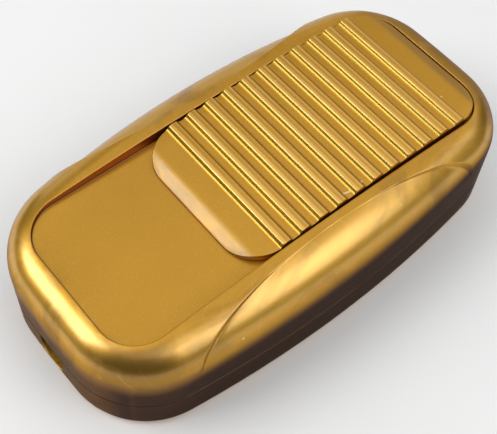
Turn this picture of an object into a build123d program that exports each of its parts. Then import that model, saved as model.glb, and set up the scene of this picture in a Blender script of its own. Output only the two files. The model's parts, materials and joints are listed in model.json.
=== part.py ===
from build123d import *
from math import cos, degrees, radians, sin
import os

os.makedirs("parts", exist_ok=True)

# Foot dimmer with a sliding pedal, in millimetres.
# +X runs along the housing towards the end where the slider rests, +Z is up,
# and the origin is the middle of the footprint, on the floor.

# Housing outline, seen from above: bowed long sides, bowed ends, round corners
BODY_LENGTH = 113.4
BODY_WIDTH = 59.2
SIDE_BOW_RADIUS = 283.0
END_BOW_RADIUS = 320.0
CORNER_RADIUS = 18.9

# Housing heights and edges
PARTING_HEIGHT = 10.0
RIM_HEIGHT = 27.8
TOP_ARCH_RADIUS = 556.0
SHOULDER_RADIUS = 7.3
BOTTOM_EDGE_RADIUS = 2.6
PARTING_CHAMFER = 0.2

# Walls
WALL = 2.2
CAVITY_BEVEL = 5.0
BASE_FLOOR = 2.0
TRACK_FLOOR = 2.0
TRACK_WALL = 1.8
FLOOR_RIB = (76.0, 1.4, 2.8)
FLOOR_RIB_OFFSET = 12.0

# Scallop pressed into each flank: an ellipse seen from above, with a softer shoulder inside it
SCALLOP_SHOULDER = 9.7
SCALLOP_FROM_END = 12.7
SCALLOP_FROM_SIDE = 8.3
SCALLOP_HALF_WIDTH = 11.5

# Tongue and rebate where the two shells meet
REBATE_SKIN = 1.0
TONGUE_HEIGHT = 1.6
TONGUE_CLEARANCE = 0.15

# Track for the slider, sunk into the top
TRACK_FROM_END = 6.7
TRACK_FROM_SIDE = 10.2
TRACK_CORNER = 9.0
TRACK_FLOOR_HEIGHT = 24.8

# Slider
SLIDER_TRAVEL = 30.0
SLIDER_END_GAP = 0.3
SLIDER_SIDE_GAP = 0.45
SLIDER_RUNNING_GAP = 0.15
SLIDER_TOP = 28.0
SLIDER_ARCH_RADIUS = 360.0
SLIDER_BEVEL = (2.9, 1.0)
SLIDER_SKIN = 1.4
SLIDER_SKIRT = 1.6
SLIDER_END_BLOCK = 7.0
STIFFENER_WIDTH = 1.2
STIFFENER_OFFSET = 11.5
RIB_COUNT = 11
RIB_PITCH = 5.0
RIB_WIDTH = 2.0
RIB_HEIGHT = 1.0
RIB_EDGE_ROUND = 0.35
RIB_FOOT_ROUND = 0.3
RIB_FOOT_DEPTH = 0.01

# Lever socket and snap legs under the slider, which pass through a slot in the track floor
STEM_LENGTH = 6.8
SOCKET_WALL = 1.2
SOCKET_CLEARANCE = 0.2
SOCKET_DEPTH = 5.0
LEG_OFFSET = 3.6
LEG_THICKNESS = 1.2
BARB_REACH = 1.3
BARB_HEIGHT = 1.8
BARB_CLEARANCE = 0.15
SLOT_GAP = 0.3

# Cord entries, a round-bottomed notch in each end of the base, and their clamps
NOTCH_RADIUS = 4.0
CLAMP_FROM_END = 11.7
CLAMP_SCREW_OFFSET = 8.0
CLAMP_POST_RADIUS = 2.9
CLAMP_POST_TOP = 9.3
CLAMP_BAR_WIDTH = 6.0
CLAMP_BAR_THICKNESS = 2.6
CLAMP_BAR_OVERHANG = 3.0
CLAMP_BAR_CORNER = 2.1
TOOTH_RADIUS = 1.0
TOOTH_LENGTH = 7.0
SADDLE_RADIUS = 0.8
SADDLE_OFFSET = 2.2

# Self-tapping screws: shank radius, shank length, head radius, head height
HOUSING_SCREW = (1.45, 16.0, 2.75, 2.0)
CLAMP_SCREW = (1.2, 7.0, 2.3, 1.6)
BOARD_SCREW = (1.0, 4.2, 1.9, 1.3)
SINK_SCREW = (1.45, 7.0, 2.75, 1.8)
TERMINAL_SCREW = (1.0, 3.4, 1.7, 1.8)
THREAD_FIT = 0.05

# Housing screws, their bosses in the top and their pillars in the base
SCREW_FROM_END = 12.7
SCREW_FROM_SIDE = 13.0
BOSS_RADIUS = 3.3
PILLAR_RADIUS = 4.4
SCREW_SEAT_HEIGHT = 4.0
HEAD_CLEARANCE = 0.35
SHANK_CLEARANCE = 0.2

# Circuit board
BOARD_FROM_END = 19.7
BOARD_FROM_SIDE = 6.6
BOARD_CORNER = 8.0
BOARD_THICKNESS = 1.6
BOARD_UNDERSIDE = 4.8
BOARD_SCREW_INSET = (4.0, 6.0)
BOARD_POST_RADIUS = 2.4
LEAD_RADIUS = 0.35
LEAD_CLEARANCE = 0.1
SOLDER_RADIUS = 0.95
SOLDER_TIP_RADIUS = 0.4
SOLDER_HEIGHT = 0.8

# Slide potentiometer: its case, the track inside it, and the lever that the slider carries
POT_LENGTH = 45.0
POT_WIDTH = 9.0
POT_HEIGHT = 7.0
POT_SHEET = 0.5
POT_TRACK_THICKNESS = 1.0
POT_SLOT_WIDTH = 2.0
LEVER_LENGTH = 4.0
LEVER_THICKNESS = 1.2
LEVER_TOP = 23.4
CARRIAGE_LENGTH = 7.0
CARRIAGE_HEIGHT = 2.8
CARRIAGE_CLEARANCE = 0.15
WIPER_THICKNESS = 0.2
WIPER_WIDTH = 4.6
WIPER_LIFT = 0.1

# Interference choke
CHOKE_PLACE = (-17.0, 14.2)
CORE_OUTER_RADIUS = 6.6
CORE_INNER_RADIUS = 3.4
CORE_HEIGHT = 6.0
CORE_EDGE = 0.8
WIRE_RADIUS = 0.5
WIRE_BEND = 1.2
TURN_COUNT = 12
TURN_CLEARANCE = 0.1

# Box capacitors: length, width, height, lead pitch, then the place of each
SUPPRESSION_SIZE = (18.0, 7.0, 12.5, 15.0)
SUPPRESSION_PLACE = (6.5, 17.4)
TIMING_SIZE = (10.0, 4.6, 8.0, 7.5)
TIMING_PLACE = (-0.5, 9.4)
CAPACITOR_STANDOFF = 0.4
CAPACITOR_EDGE = 0.5

# Triac lying on its heat sink: lengths run along X, widths along Y
TRIAC_PLACE = (-13.0, -13.0)
TRIAC_BODY = (9.2, 10.2, 3.3)
TRIAC_TAB = (6.3, 10.2, 1.3)
TRIAC_HOLE_FROM_END = 2.8
TRIAC_HOLE_RADIUS = 1.85
TRIAC_LEAD_PITCH = 2.54
TRIAC_LEAD_HEIGHT = 2.4
TRIAC_LEAD_REACH = 4.0
TRIAC_LEAD_BEND = 1.0
SINK_SHEET = 1.5
SINK_OVERHANG = (5.2, 0.7)
SINK_GAP = 0.7
SINK_FIN_HEIGHT = 11.0
NUT_ACROSS_FLATS = 5.5
NUT_HEIGHT = 2.2

# Parts with wire ends: body length, body radius, lead span, then the place of each
RESISTOR = (6.4, 1.2, 10.0)
RESISTOR_PLACES = ((13.6, 9.3), (20.0, -8.0))
DIAC = (4.0, 0.95, 7.6)
DIAC_PLACE = (8.4, -8.0)
WIRE_END_RADIUS = 0.3
WIRE_SIDES = 6
WIRE_END_BEND = 0.8
AXIAL_LIFT = 0.1

# Fuse in two clips
FUSE_PLACE = (15.5, -15.6)
FUSE_LENGTH = 20.0
FUSE_CAP_RADIUS = 2.6
FUSE_CAP_LENGTH = 5.0
FUSE_GLASS_RADIUS = 2.3
FUSE_GLASS_WALL = 0.5
FUSE_END_DISC = 0.4
FUSE_WIRE_RADIUS = 0.1
FUSE_AXIS_HEIGHT = 4.2
CLIP_SHEET = 0.4
CLIP_FIT = 0.05
CLIP_WIDTH = 4.0
CLIP_BASE_WIDTH = 5.6
CLIP_NECK_WIDTH = 3.0
CLIP_MOUTH_HALF_ANGLE = 40.0

# Terminal blocks
TERMINAL_FROM_BOARD_END = 6.0
TERMINAL_DEPTH = 8.0
TERMINAL_PITCH = 5.0
TERMINAL_WAYS = 2
TERMINAL_HEIGHT = 10.0
TERMINAL_WALL = 0.9
TERMINAL_SILL = 1.0
PORT_WIDTH = 3.9
PORT_HEIGHT = 5.4
WELL_RADIUS = 1.95
CAGE_WALL = 0.5
CAGE_GAP = 0.15
TERMINAL_SCREW_LIFT = 0.5

# Values worked out from the sizes above
TALL = 4 * RIM_HEIGHT
TRACK_LENGTH = BODY_LENGTH - 2 * TRACK_FROM_END
TRACK_WIDTH = BODY_WIDTH - 2 * TRACK_FROM_SIDE
TRACK_CEILING = TRACK_FLOOR_HEIGHT - TRACK_FLOOR
SLIDER_LENGTH = TRACK_LENGTH - SLIDER_TRAVEL - 2 * SLIDER_END_GAP
SLIDER_WIDTH = TRACK_WIDTH - 2 * SLIDER_SIDE_GAP
SLIDER_CORNER = TRACK_CORNER - SLIDER_SIDE_GAP
SLIDER_X = SLIDER_TRAVEL / 2
SLIDER_UNDERSIDE = TRACK_FLOOR_HEIGHT + SLIDER_RUNNING_GAP
NOTCH_AXIS_HEIGHT = PARTING_HEIGHT - NOTCH_RADIUS
SLOT_LENGTH = SLIDER_TRAVEL + STEM_LENGTH + 2 * SLOT_GAP
SLOT_WIDTH = 2 * (LEG_OFFSET + LEG_THICKNESS + SLOT_GAP)
SCREW_X = BODY_LENGTH / 2 - SCREW_FROM_END
SCREW_Y = BODY_WIDTH / 2 - SCREW_FROM_SIDE
CLAMP_X = BODY_LENGTH / 2 - CLAMP_FROM_END
BOARD_LENGTH = BODY_LENGTH - 2 * BOARD_FROM_END
BOARD_WIDTH = BODY_WIDTH - 2 * BOARD_FROM_SIDE
BOARD_TOP = BOARD_UNDERSIDE + BOARD_THICKNESS
BOARD_SCREW_X = BOARD_LENGTH / 2 - BOARD_SCREW_INSET[0]
BOARD_SCREW_Y = BOARD_WIDTH / 2 - BOARD_SCREW_INSET[1]
POT_TOP = BOARD_TOP + POT_HEIGHT
CARRIAGE_TOP = POT_TOP - POT_SHEET - CARRIAGE_CLEARANCE
CORE_UNDERSIDE = BOARD_TOP + TURN_CLEARANCE + 2 * WIRE_RADIUS + TURN_CLEARANCE
TURN_OUTER = CORE_OUTER_RADIUS + TURN_CLEARANCE + WIRE_RADIUS
TRIAC_UNDERSIDE = BOARD_TOP + SINK_SHEET
TRIAC_TAB_END = TRIAC_PLACE[0] - (TRIAC_TAB[0] + TRIAC_BODY[0]) / 2
TRIAC_BODY_END = TRIAC_PLACE[0] + (TRIAC_TAB[0] + TRIAC_BODY[0]) / 2
TRIAC_HOLE_X = TRIAC_TAB_END + TRIAC_HOLE_FROM_END
TRIAC_LEAD_X = TRIAC_BODY_END + TRIAC_LEAD_REACH
FUSE_AXIS = BOARD_TOP + FUSE_AXIS_HEIGHT
CLIP_OFFSET = (FUSE_LENGTH - FUSE_CAP_LENGTH) / 2
TERMINAL_X = BOARD_LENGTH / 2 - TERMINAL_FROM_BOARD_END
CAGE_FLOOR = BOARD_TOP + TERMINAL_SILL
CAGE_HEIGHT = PORT_HEIGHT - 2 * CAGE_GAP
CAGE_LENGTH = TERMINAL_DEPTH - TERMINAL_WALL - 2 * CAGE_GAP


def four_corners(x, y):
    """The four places at the same distance from both middle planes."""
    return [(x, y), (-x, y), (-x, -y), (x, -y)]


HOUSING_SCREW_PLACES = four_corners(SCREW_X, SCREW_Y)
BOARD_SCREW_PLACES = four_corners(BOARD_SCREW_X, BOARD_SCREW_Y)
CLAMP_SCREW_PLACES = four_corners(CLAMP_X, CLAMP_SCREW_OFFSET)


def plan(inset=0.0):
    """Outline of the housing seen from above, moved in by an even distance."""
    half_length = BODY_LENGTH / 2 - inset
    half_width = BODY_WIDTH / 2 - inset
    side = SIDE_BOW_RADIUS - inset
    end = END_BOW_RADIUS - inset
    face = Pos(0, half_width - side) * Circle(side)
    face &= Pos(0, side - half_width) * Circle(side)
    face &= Pos(half_length - end, 0) * Circle(end)
    face &= Pos(end - half_length, 0) * Circle(end)
    return fillet(face.vertices(), CORNER_RADIUS - inset)


def prism(face, low, high):
    """A flat face made solid between two heights."""
    return extrude(Pos(0, 0, low) * face, amount=high - low)


def block(length, width, low, high, x=0.0, y=0.0):
    """A box given by its footprint and its two heights."""
    return Pos(x, y, (low + high) / 2) * Box(length, width, high - low)


def peg(radius, low, high, x=0.0, y=0.0):
    """An upright cylinder between two heights."""
    return Pos(x, y, (low + high) / 2) * Cylinder(radius, high - low)


def log(radius, length, x=0.0, y=0.0, z=0.0):
    """A cylinder lying along Y."""
    return Pos(x, y, z) * Rot(90, 0, 0) * Cylinder(radius, length)


def rod(radius, length, x=0.0, y=0.0, z=0.0):
    """A cylinder lying along X."""
    return Pos(x, y, z) * Rot(0, 90, 0) * Cylinder(radius, length)


def group(pieces):
    """Separate solids gathered in one shape, without fusing them."""
    return Compound(children=[solid for piece in pieces for solid in piece.solids()])


def arched(inset, low, crest):
    """The housing's outline carried up to an arched top."""
    return prism(plan(inset), low, TALL / 2) & log(TOP_ARCH_RADIUS, BODY_WIDTH, z=crest - TOP_ARCH_RADIUS)


def pillow(shoulder):
    """The outside of the top shell with one radius all round its shoulder."""
    form = arched(0, PARTING_HEIGHT, RIM_HEIGHT)
    return fillet(form.faces().sort_by(Axis.Z)[-1].edges(), shoulder)


def track_prism(low, high, grow=0.0):
    """The slider's track, or the wall round it when grown."""
    outline = RectangleRounded(TRACK_LENGTH + 2 * grow, TRACK_WIDTH + 2 * grow, TRACK_CORNER + grow)
    return prism(outline, low, high)


def pin(radius, low, high, x=0.0, y=0.0):
    """A thin upright wire between two heights, drawn with a few flats."""
    return Pos(x, y, 0) * prism(RegularPolygon(radius, WIRE_SIDES), low, high)


def screw(sizes, seat, x, y, up=False):
    """A self-tapping screw, plain: a round head on its seat and a shank that points down, or up."""
    shank_radius, shank_length, head_radius, head_height = sizes
    whole = peg(head_radius, 0, head_height) + peg(shank_radius, -shank_length, 0)
    if up:
        whole = Rot(180, 0, 0) * whole
    return Pos(x, y, seat) * whole


def wire(path, radius):
    """A wire drawn with a few flats along a path of straight runs."""
    start = Plane(path @ 0, z_dir=path % 0)
    return sweep(start * RegularPolygon(radius, WIRE_SIDES), path=path, transition=Transition.RIGHT)


def wire_ends(x_first, x_last, y, axis_height):
    """One straight wire through a part, bent down at both ends into the board."""
    line = [(x_first, y, BOARD_UNDERSIDE), (x_first, y, axis_height - WIRE_END_BEND)]
    line += [(x_first + WIRE_END_BEND, y, axis_height), (x_last - WIRE_END_BEND, y, axis_height)]
    line += [(x_last, y, axis_height - WIRE_END_BEND), (x_last, y, BOARD_UNDERSIDE)]
    return wire(Polyline(*line), WIRE_END_RADIUS)


# Housing

def upper_shell():
    """Moulded top: round shoulder, flank scallops, sunk track with its slot, and four bosses."""
    outer = pillow(SHOULDER_RADIUS)
    softer = pillow(SCALLOP_SHOULDER)
    leaf = Ellipse(BODY_LENGTH / 2 - SCALLOP_FROM_END, SCALLOP_HALF_WIDTH)
    leaf_centre = BODY_WIDTH / 2 - SCALLOP_FROM_SIDE + SCALLOP_HALF_WIDTH
    for side in (1, -1):
        outer -= prism(Pos(0, side * leaf_centre) * leaf, PARTING_HEIGHT, TALL / 2) - softer
    outer = chamfer(outer.faces().sort_by(Axis.Z)[0].edges(), PARTING_CHAMFER)
    outer -= track_prism(TRACK_FLOOR_HEIGHT, TALL)
    cavity = arched(WALL, 0, RIM_HEIGHT - WALL)
    cavity = chamfer(cavity.faces().sort_by(Axis.Z)[-1].edges(), CAVITY_BEVEL)
    cavity -= track_prism(TRACK_CEILING, TALL, TRACK_WALL)
    shell = outer - cavity
    shell -= prism(plan(REBATE_SKIN), 0, PARTING_HEIGHT + TONGUE_HEIGHT + TONGUE_CLEARANCE)
    rib_length, rib_width, rib_depth = FLOOR_RIB
    for side in (1, -1):
        rib_bottom = TRACK_CEILING - rib_depth
        shell += block(rib_length, rib_width, rib_bottom, TRACK_CEILING + 0.5, 0, side * FLOOR_RIB_OFFSET)
    shell -= block(SLOT_LENGTH, SLOT_WIDTH, TRACK_CEILING - 1, TRACK_FLOOR_HEIGHT + 1)
    for x, y in HOUSING_SCREW_PLACES:
        shell += peg(BOSS_RADIUS, PARTING_HEIGHT, TRACK_CEILING + 0.5, x, y)
    bore_top = SCREW_SEAT_HEIGHT + HOUSING_SCREW[1] + THREAD_FIT
    for x, y in HOUSING_SCREW_PLACES:
        shell -= peg(HOUSING_SCREW[0] + THREAD_FIT, 0, bore_top, x, y)
    return shell


def cord_notch(side):
    """Round-bottomed way through one end wall and its tongue, open at the top."""
    end = side * BODY_LENGTH / 2
    hole = rod(NOTCH_RADIUS, 4 * WALL, end, 0, NOTCH_AXIS_HEIGHT)
    return hole + block(4 * WALL, 2 * NOTCH_RADIUS, NOTCH_AXIS_HEIGHT, TALL / 2, end)


def base_shell():
    """Moulded base: tongue, cord notches, screw pillars, board posts, clamp posts and saddles."""
    shell = prism(plan(), 0, PARTING_HEIGHT)
    shell = fillet(shell.faces().sort_by(Axis.Z)[0].edges(), BOTTOM_EDGE_RADIUS)
    shell = chamfer(shell.faces().sort_by(Axis.Z)[-1].edges(), PARTING_CHAMFER)
    tongue_outline = plan(REBATE_SKIN + TONGUE_CLEARANCE)
    shell += prism(tongue_outline, BASE_FLOOR, PARTING_HEIGHT + TONGUE_HEIGHT)
    shell -= prism(plan(WALL), BASE_FLOOR, TALL / 2)
    for side in (1, -1):
        shell -= cord_notch(side)
    for x, y in HOUSING_SCREW_PLACES:
        shell += peg(PILLAR_RADIUS, BASE_FLOOR / 2, PARTING_HEIGHT, x, y)
    for x, y in HOUSING_SCREW_PLACES:
        shell -= peg(HOUSING_SCREW[2] + HEAD_CLEARANCE, -1, SCREW_SEAT_HEIGHT, x, y)
        shell -= peg(HOUSING_SCREW[0] + SHANK_CLEARANCE, 0, TALL / 2, x, y)
    for x, y in BOARD_SCREW_PLACES:
        shell += peg(BOARD_POST_RADIUS, BASE_FLOOR / 2, BOARD_UNDERSIDE, x, y)
        shell -= peg(BOARD_SCREW[0] + THREAD_FIT, BOARD_TOP - BOARD_SCREW[1] - THREAD_FIT, TALL, x, y)
    for x, y in CLAMP_SCREW_PLACES:
        shell += peg(CLAMP_POST_RADIUS, BASE_FLOOR / 2, CLAMP_POST_TOP, x, y)
        bore_bottom = CLAMP_POST_TOP + CLAMP_BAR_THICKNESS - CLAMP_SCREW[1] - THREAD_FIT
        shell -= peg(CLAMP_SCREW[0] + THREAD_FIT, bore_bottom, TALL, x, y)
    for side in (1, -1):
        for offset in (SADDLE_OFFSET, -SADDLE_OFFSET):
            shell += log(SADDLE_RADIUS, TOOTH_LENGTH, side * CLAMP_X + offset, 0, BASE_FLOOR)
    return shell


def housing_screws():
    """Four screws driven up from below, their heads sunk in the base."""
    return group([screw(HOUSING_SCREW, SCREW_SEAT_HEIGHT, x, y, up=True) for x, y in HOUSING_SCREW_PLACES])


# Slider

def slider_ribs():
    """Cross ribs set round the slider's arch, each with rounded edges and a rounded foot."""
    foot_width = RIB_WIDTH + 4 * RIB_FOOT_ROUND
    section = Pos(0, RIB_HEIGHT / 2 - RIB_FOOT_DEPTH) * Rectangle(RIB_WIDTH, RIB_HEIGHT + 2 * RIB_FOOT_DEPTH)
    section += Pos(0, -RIB_HEIGHT / 4 - RIB_FOOT_DEPTH) * Rectangle(foot_width, RIB_HEIGHT / 2)
    corners = section.vertices().group_by(Axis.Y)
    section = fillet(corners[-1], RIB_EDGE_ROUND)
    foot = section.vertices().filter_by(lambda v: abs(abs(v.X) - RIB_WIDTH / 2) < 0.001 and abs(v.Y) < 0.05)
    section = fillet(foot, RIB_FOOT_ROUND)
    rib = extrude(Plane.XZ * section, amount=SLIDER_WIDTH / 2, both=True)
    ribs = []
    for index in range(RIB_COUNT):
        turn = degrees((index - (RIB_COUNT - 1) / 2) * RIB_PITCH / SLIDER_ARCH_RADIUS)
        arch_axis = Pos(SLIDER_X, 0, SLIDER_TOP - SLIDER_ARCH_RADIUS)
        ribs.append(arch_axis * Rot(0, turn, 0) * Pos(0, 0, SLIDER_ARCH_RADIUS) * rib)
    return ribs


def slider_top():
    """The pedal: an arched plate with bevelled ends and cross ribs, hollow underneath."""
    outline = Pos(SLIDER_X, 0) * RectangleRounded(SLIDER_LENGTH, SLIDER_WIDTH, SLIDER_CORNER)
    arch = log(SLIDER_ARCH_RADIUS, BODY_WIDTH, SLIDER_X, 0, SLIDER_TOP - SLIDER_ARCH_RADIUS)
    plate = prism(outline, SLIDER_UNDERSIDE, TALL / 2) & arch
    bevel_length, bevel_drop = SLIDER_BEVEL
    half_length = SLIDER_LENGTH / 2
    end_top = SLIDER_TOP - half_length ** 2 / (2 * SLIDER_ARCH_RADIUS)
    bevel_top = SLIDER_TOP - (half_length - bevel_length) ** 2 / (2 * SLIDER_ARCH_RADIUS)
    for side in (1, -1):
        inner = (SLIDER_X + side * (half_length - bevel_length), bevel_top)
        outer = (SLIDER_X + side * half_length, end_top - bevel_drop)
        slope = (outer[1] - inner[1]) / bevel_length
        past = (outer[0] + side, outer[1] + slope)
        wedge = Polyline(inner, past, (past[0], SLIDER_TOP + 1), (inner[0], SLIDER_TOP + 1), close=True)
        section = Plane.XZ * make_face(wedge)
        plate -= extrude(section, amount=SLIDER_WIDTH, both=True)
    for rib in slider_ribs():
        plate += rib & prism(outline, SLIDER_UNDERSIDE, TALL / 2)
    return plate


def slider_hollow():
    """The space under the pedal's skin, between its two stiffening ribs and its skirt."""
    length = SLIDER_LENGTH - 2 * SLIDER_END_BLOCK
    width = SLIDER_WIDTH - 2 * SLIDER_SKIRT
    space = block(length, width, SLIDER_UNDERSIDE - 1, SLIDER_TOP, SLIDER_X)
    skin_radius = SLIDER_ARCH_RADIUS - SLIDER_SKIN
    space &= log(skin_radius, BODY_WIDTH, SLIDER_X, 0, SLIDER_TOP - SLIDER_ARCH_RADIUS)
    for side in (1, -1):
        space -= block(length, STIFFENER_WIDTH, 0, SLIDER_TOP, SLIDER_X, side * STIFFENER_OFFSET)
    return space


def slider():
    """Pedal with a lever socket and two barbed snap legs that hold it down in the slot."""
    body = slider_top() - slider_hollow()
    skin_inside = SLIDER_TOP - SLIDER_SKIN + 0.2
    socket_width = LEVER_THICKNESS + 2 * SOCKET_CLEARANCE + 2 * SOCKET_WALL
    socket_bottom = LEVER_TOP - SOCKET_DEPTH
    body += block(STEM_LENGTH, socket_width, socket_bottom, skin_inside, SLIDER_X)
    pocket_length = LEVER_LENGTH + 2 * SOCKET_CLEARANCE
    pocket_width = LEVER_THICKNESS + 2 * SOCKET_CLEARANCE
    pocket_top = LEVER_TOP + SOCKET_CLEARANCE
    body -= block(pocket_length, pocket_width, socket_bottom - 1, pocket_top, SLIDER_X)
    hook_top = TRACK_CEILING - BARB_CLEARANCE
    hook_bottom = hook_top - BARB_HEIGHT
    outside = LEG_OFFSET + LEG_THICKNESS
    for side in (1, -1):
        corners = [(LEG_OFFSET, skin_inside), (outside, skin_inside), (outside, hook_top)]
        corners += [(outside + BARB_REACH, hook_top), (outside, hook_bottom), (LEG_OFFSET, hook_bottom)]
        section = make_face(Polyline(*[(side * y, z) for y, z in corners], close=True))
        leg = extrude(Plane.YZ * section, amount=STEM_LENGTH / 2, both=True)
        body += Pos(SLIDER_X, 0, 0) * leg
    return body


# Circuit board and what stands on it

def triac_leads():
    """Places of the triac's three leads in the board."""
    return [(TRIAC_LEAD_X, TRIAC_PLACE[1] + way * TRIAC_LEAD_PITCH) for way in (-1, 0, 1)]


def choke_leads():
    """Places of the choke's two wire ends, beside the gap in its winding."""
    half_gap = 180.0 / TURN_COUNT
    places = []
    for angle in (90 - half_gap, 90 + half_gap):
        x = CHOKE_PLACE[0] + TURN_OUTER * cos(radians(angle))
        places.append((x, CHOKE_PLACE[1] + TURN_OUTER * sin(radians(angle))))
    return places


def pair(place, span):
    """Two places on a line along X, as far apart as the span."""
    return [(place[0] - span / 2, place[1]), (place[0] + span / 2, place[1])]


def pot_leads():
    """Places of the potentiometer's three pins, two at one end and one at the other."""
    reach = POT_LENGTH / 2 - 2 * POT_SHEET - LEAD_RADIUS
    return [(-reach, POT_WIDTH / 4), (-reach, -POT_WIDTH / 4), (reach, 0)]


def terminal_pins():
    """Places of the pins under the terminal cages, at both ends of the board."""
    first = -(TERMINAL_WAYS - 1) / 2 * TERMINAL_PITCH
    rows = [first + way * TERMINAL_PITCH for way in range(TERMINAL_WAYS)]
    return [(side * TERMINAL_X, y) for side in (1, -1) for y in rows]


def lead_places():
    """Every place where a lead goes through the board."""
    places = triac_leads() + choke_leads() + pot_leads() + terminal_pins()
    places += pair(SUPPRESSION_PLACE, SUPPRESSION_SIZE[3]) + pair(TIMING_PLACE, TIMING_SIZE[3])
    places += pair(DIAC_PLACE, DIAC[2]) + pair(FUSE_PLACE, 2 * CLIP_OFFSET)
    for place in RESISTOR_PLACES:
        places += pair(place, RESISTOR[2])
    return places


def circuit_board():
    """Board with round corners, drilled for its leads, its four screws and the triac's screw."""
    outline = RectangleRounded(BOARD_LENGTH, BOARD_WIDTH, BOARD_CORNER)
    lead_hole = RegularPolygon(LEAD_RADIUS + LEAD_CLEARANCE, WIRE_SIDES)
    holes = [Pos(x, y) * lead_hole for x, y in lead_places()]
    for x, y in BOARD_SCREW_PLACES:
        holes.append(Pos(x, y) * Circle(BOARD_SCREW[0] + SHANK_CLEARANCE))
    holes.append(Pos(TRIAC_HOLE_X, TRIAC_PLACE[1]) * Circle(SINK_SCREW[0] + SHANK_CLEARANCE))
    return prism(outline - holes, BOARD_UNDERSIDE, BOARD_TOP)


def solder_joints():
    """A cone of solder under each lead."""
    low = BOARD_UNDERSIDE - SOLDER_HEIGHT
    tip = Pos(0, 0, low) * RegularPolygon(SOLDER_TIP_RADIUS, WIRE_SIDES)
    cone = loft([tip, Pos(0, 0, BOARD_UNDERSIDE) * RegularPolygon(SOLDER_RADIUS, WIRE_SIDES)])
    return group([Pos(x, y, 0) * cone for x, y in lead_places()])


def board_screws():
    """Four small screws that hold the board on its posts."""
    return group([screw(BOARD_SCREW, BOARD_TOP, x, y) for x, y in BOARD_SCREW_PLACES])


def pot_case():
    """Folded steel case of the potentiometer, with the long slot for its lever."""
    case = block(POT_LENGTH, POT_WIDTH, BOARD_TOP, POT_TOP)
    case = fillet(case.edges().filter_by(Axis.X).sort_by(Axis.Z)[-2:], POT_SHEET)
    inner_length = POT_LENGTH - 2 * POT_SHEET
    case -= block(inner_length, POT_WIDTH - 2 * POT_SHEET, 0, POT_TOP - POT_SHEET)
    slot_length = SLIDER_TRAVEL + LEVER_LENGTH + 2 * SLOT_GAP
    return case - block(slot_length, POT_SLOT_WIDTH, BOARD_TOP, TALL)


def pot_track():
    """Resistive strip on the potentiometer's floor, with its three pins."""
    strip_length = POT_LENGTH - 2 * POT_SHEET - 2 * CARRIAGE_CLEARANCE
    strip_width = POT_WIDTH - 2 * POT_SHEET - 2 * CARRIAGE_CLEARANCE
    strip = block(strip_length, strip_width, BOARD_TOP, BOARD_TOP + POT_TRACK_THICKNESS)
    for x, y in pot_leads():
        strip += pin(LEAD_RADIUS, BOARD_UNDERSIDE, BOARD_TOP + POT_TRACK_THICKNESS, x, y)
    return strip


def pot_carriage():
    """Plastic carriage inside the potentiometer, with the lever that fits the slider's socket."""
    width = POT_WIDTH - 2 * POT_SHEET - 2 * CARRIAGE_CLEARANCE
    carriage = block(CARRIAGE_LENGTH, width, CARRIAGE_TOP - CARRIAGE_HEIGHT, CARRIAGE_TOP, SLIDER_X)
    lever = block(LEVER_LENGTH, LEVER_THICKNESS, CARRIAGE_TOP - 0.5, LEVER_TOP, SLIDER_X)
    lever = chamfer(lever.faces().sort_by(Axis.Z)[-1].edges(), LEVER_THICKNESS / 4)
    return carriage + lever


def pot_wiper():
    """Sprung contact strip under the carriage: flat in the middle, its two ends bent to the track."""
    top = CARRIAGE_TOP - CARRIAGE_HEIGHT
    bottom = BOARD_TOP + POT_TRACK_THICKNESS + WIPER_LIFT
    half = CARRIAGE_LENGTH / 2
    line = Polyline(
        (-half, bottom + 2 * WIPER_THICKNESS),
        (-half + 1, bottom),
        (-1, top - WIPER_THICKNESS),
        (1, top - WIPER_THICKNESS),
        (half - 1, bottom),
        (half, bottom + 2 * WIPER_THICKNESS),
        (half, bottom + 3 * WIPER_THICKNESS),
        (half - 1, bottom + WIPER_THICKNESS),
        (1, top),
        (-1, top),
        (-half + 1, bottom + WIPER_THICKNESS),
        (-half, bottom + 3 * WIPER_THICKNESS),
        close=True,
    )
    strip = extrude(Plane.XZ * make_face(line), amount=WIPER_WIDTH / 2, both=True)
    return Pos(SLIDER_X, 0, 0) * strip


def choke_core():
    """Ring core with rounded edges."""
    ring = peg(CORE_OUTER_RADIUS, CORE_UNDERSIDE, CORE_UNDERSIDE + CORE_HEIGHT)
    ring -= peg(CORE_INNER_RADIUS, 0, TALL)
    ring = chamfer(ring.edges().filter_by(GeomType.CIRCLE), CORE_EDGE)
    return Pos(*CHOKE_PLACE) * ring


def choke_winding():
    """Turns of wire round the core, the first and the last with an end down into the board."""
    length = CORE_OUTER_RADIUS - CORE_INNER_RADIUS + 2 * (TURN_CLEARANCE + WIRE_RADIUS)
    height = CORE_HEIGHT + 2 * (TURN_CLEARANCE + WIRE_RADIUS)
    middle = (CORE_OUTER_RADIUS + CORE_INNER_RADIUS) / 2
    loop = Pos(middle, 0, CORE_UNDERSIDE + CORE_HEIGHT / 2) * Rot(90, 0, 0) * Rectangle(length, height)
    turn = wire(chamfer(loop.vertices(), WIRE_BEND).wire(), WIRE_RADIUS)
    end_top = CORE_UNDERSIDE + CORE_HEIGHT / 2
    turns = []
    for index in range(TURN_COUNT):
        angle = 90 + (index + 0.5) * 360 / TURN_COUNT
        piece = Rot(0, 0, angle) * turn
        if index in (0, TURN_COUNT - 1):
            x = TURN_OUTER * cos(radians(angle))
            piece += pin(LEAD_RADIUS, BOARD_UNDERSIDE, end_top, x, TURN_OUTER * sin(radians(angle)))
        turns.append(Pos(*CHOKE_PLACE) * piece)
    return group(turns)


def box_capacitor(size, place):
    """Film capacitor in a plastic box, just off the board on its two leads."""
    length, width, height, pitch = size
    low = BOARD_TOP + CAPACITOR_STANDOFF
    body = block(length, width, low, low + height, *place)
    body = chamfer(body.edges(), CAPACITOR_EDGE)
    for x, y in pair(place, pitch):
        body += pin(LEAD_RADIUS, BOARD_UNDERSIDE, low + 1, x, y)
    return body


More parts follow.
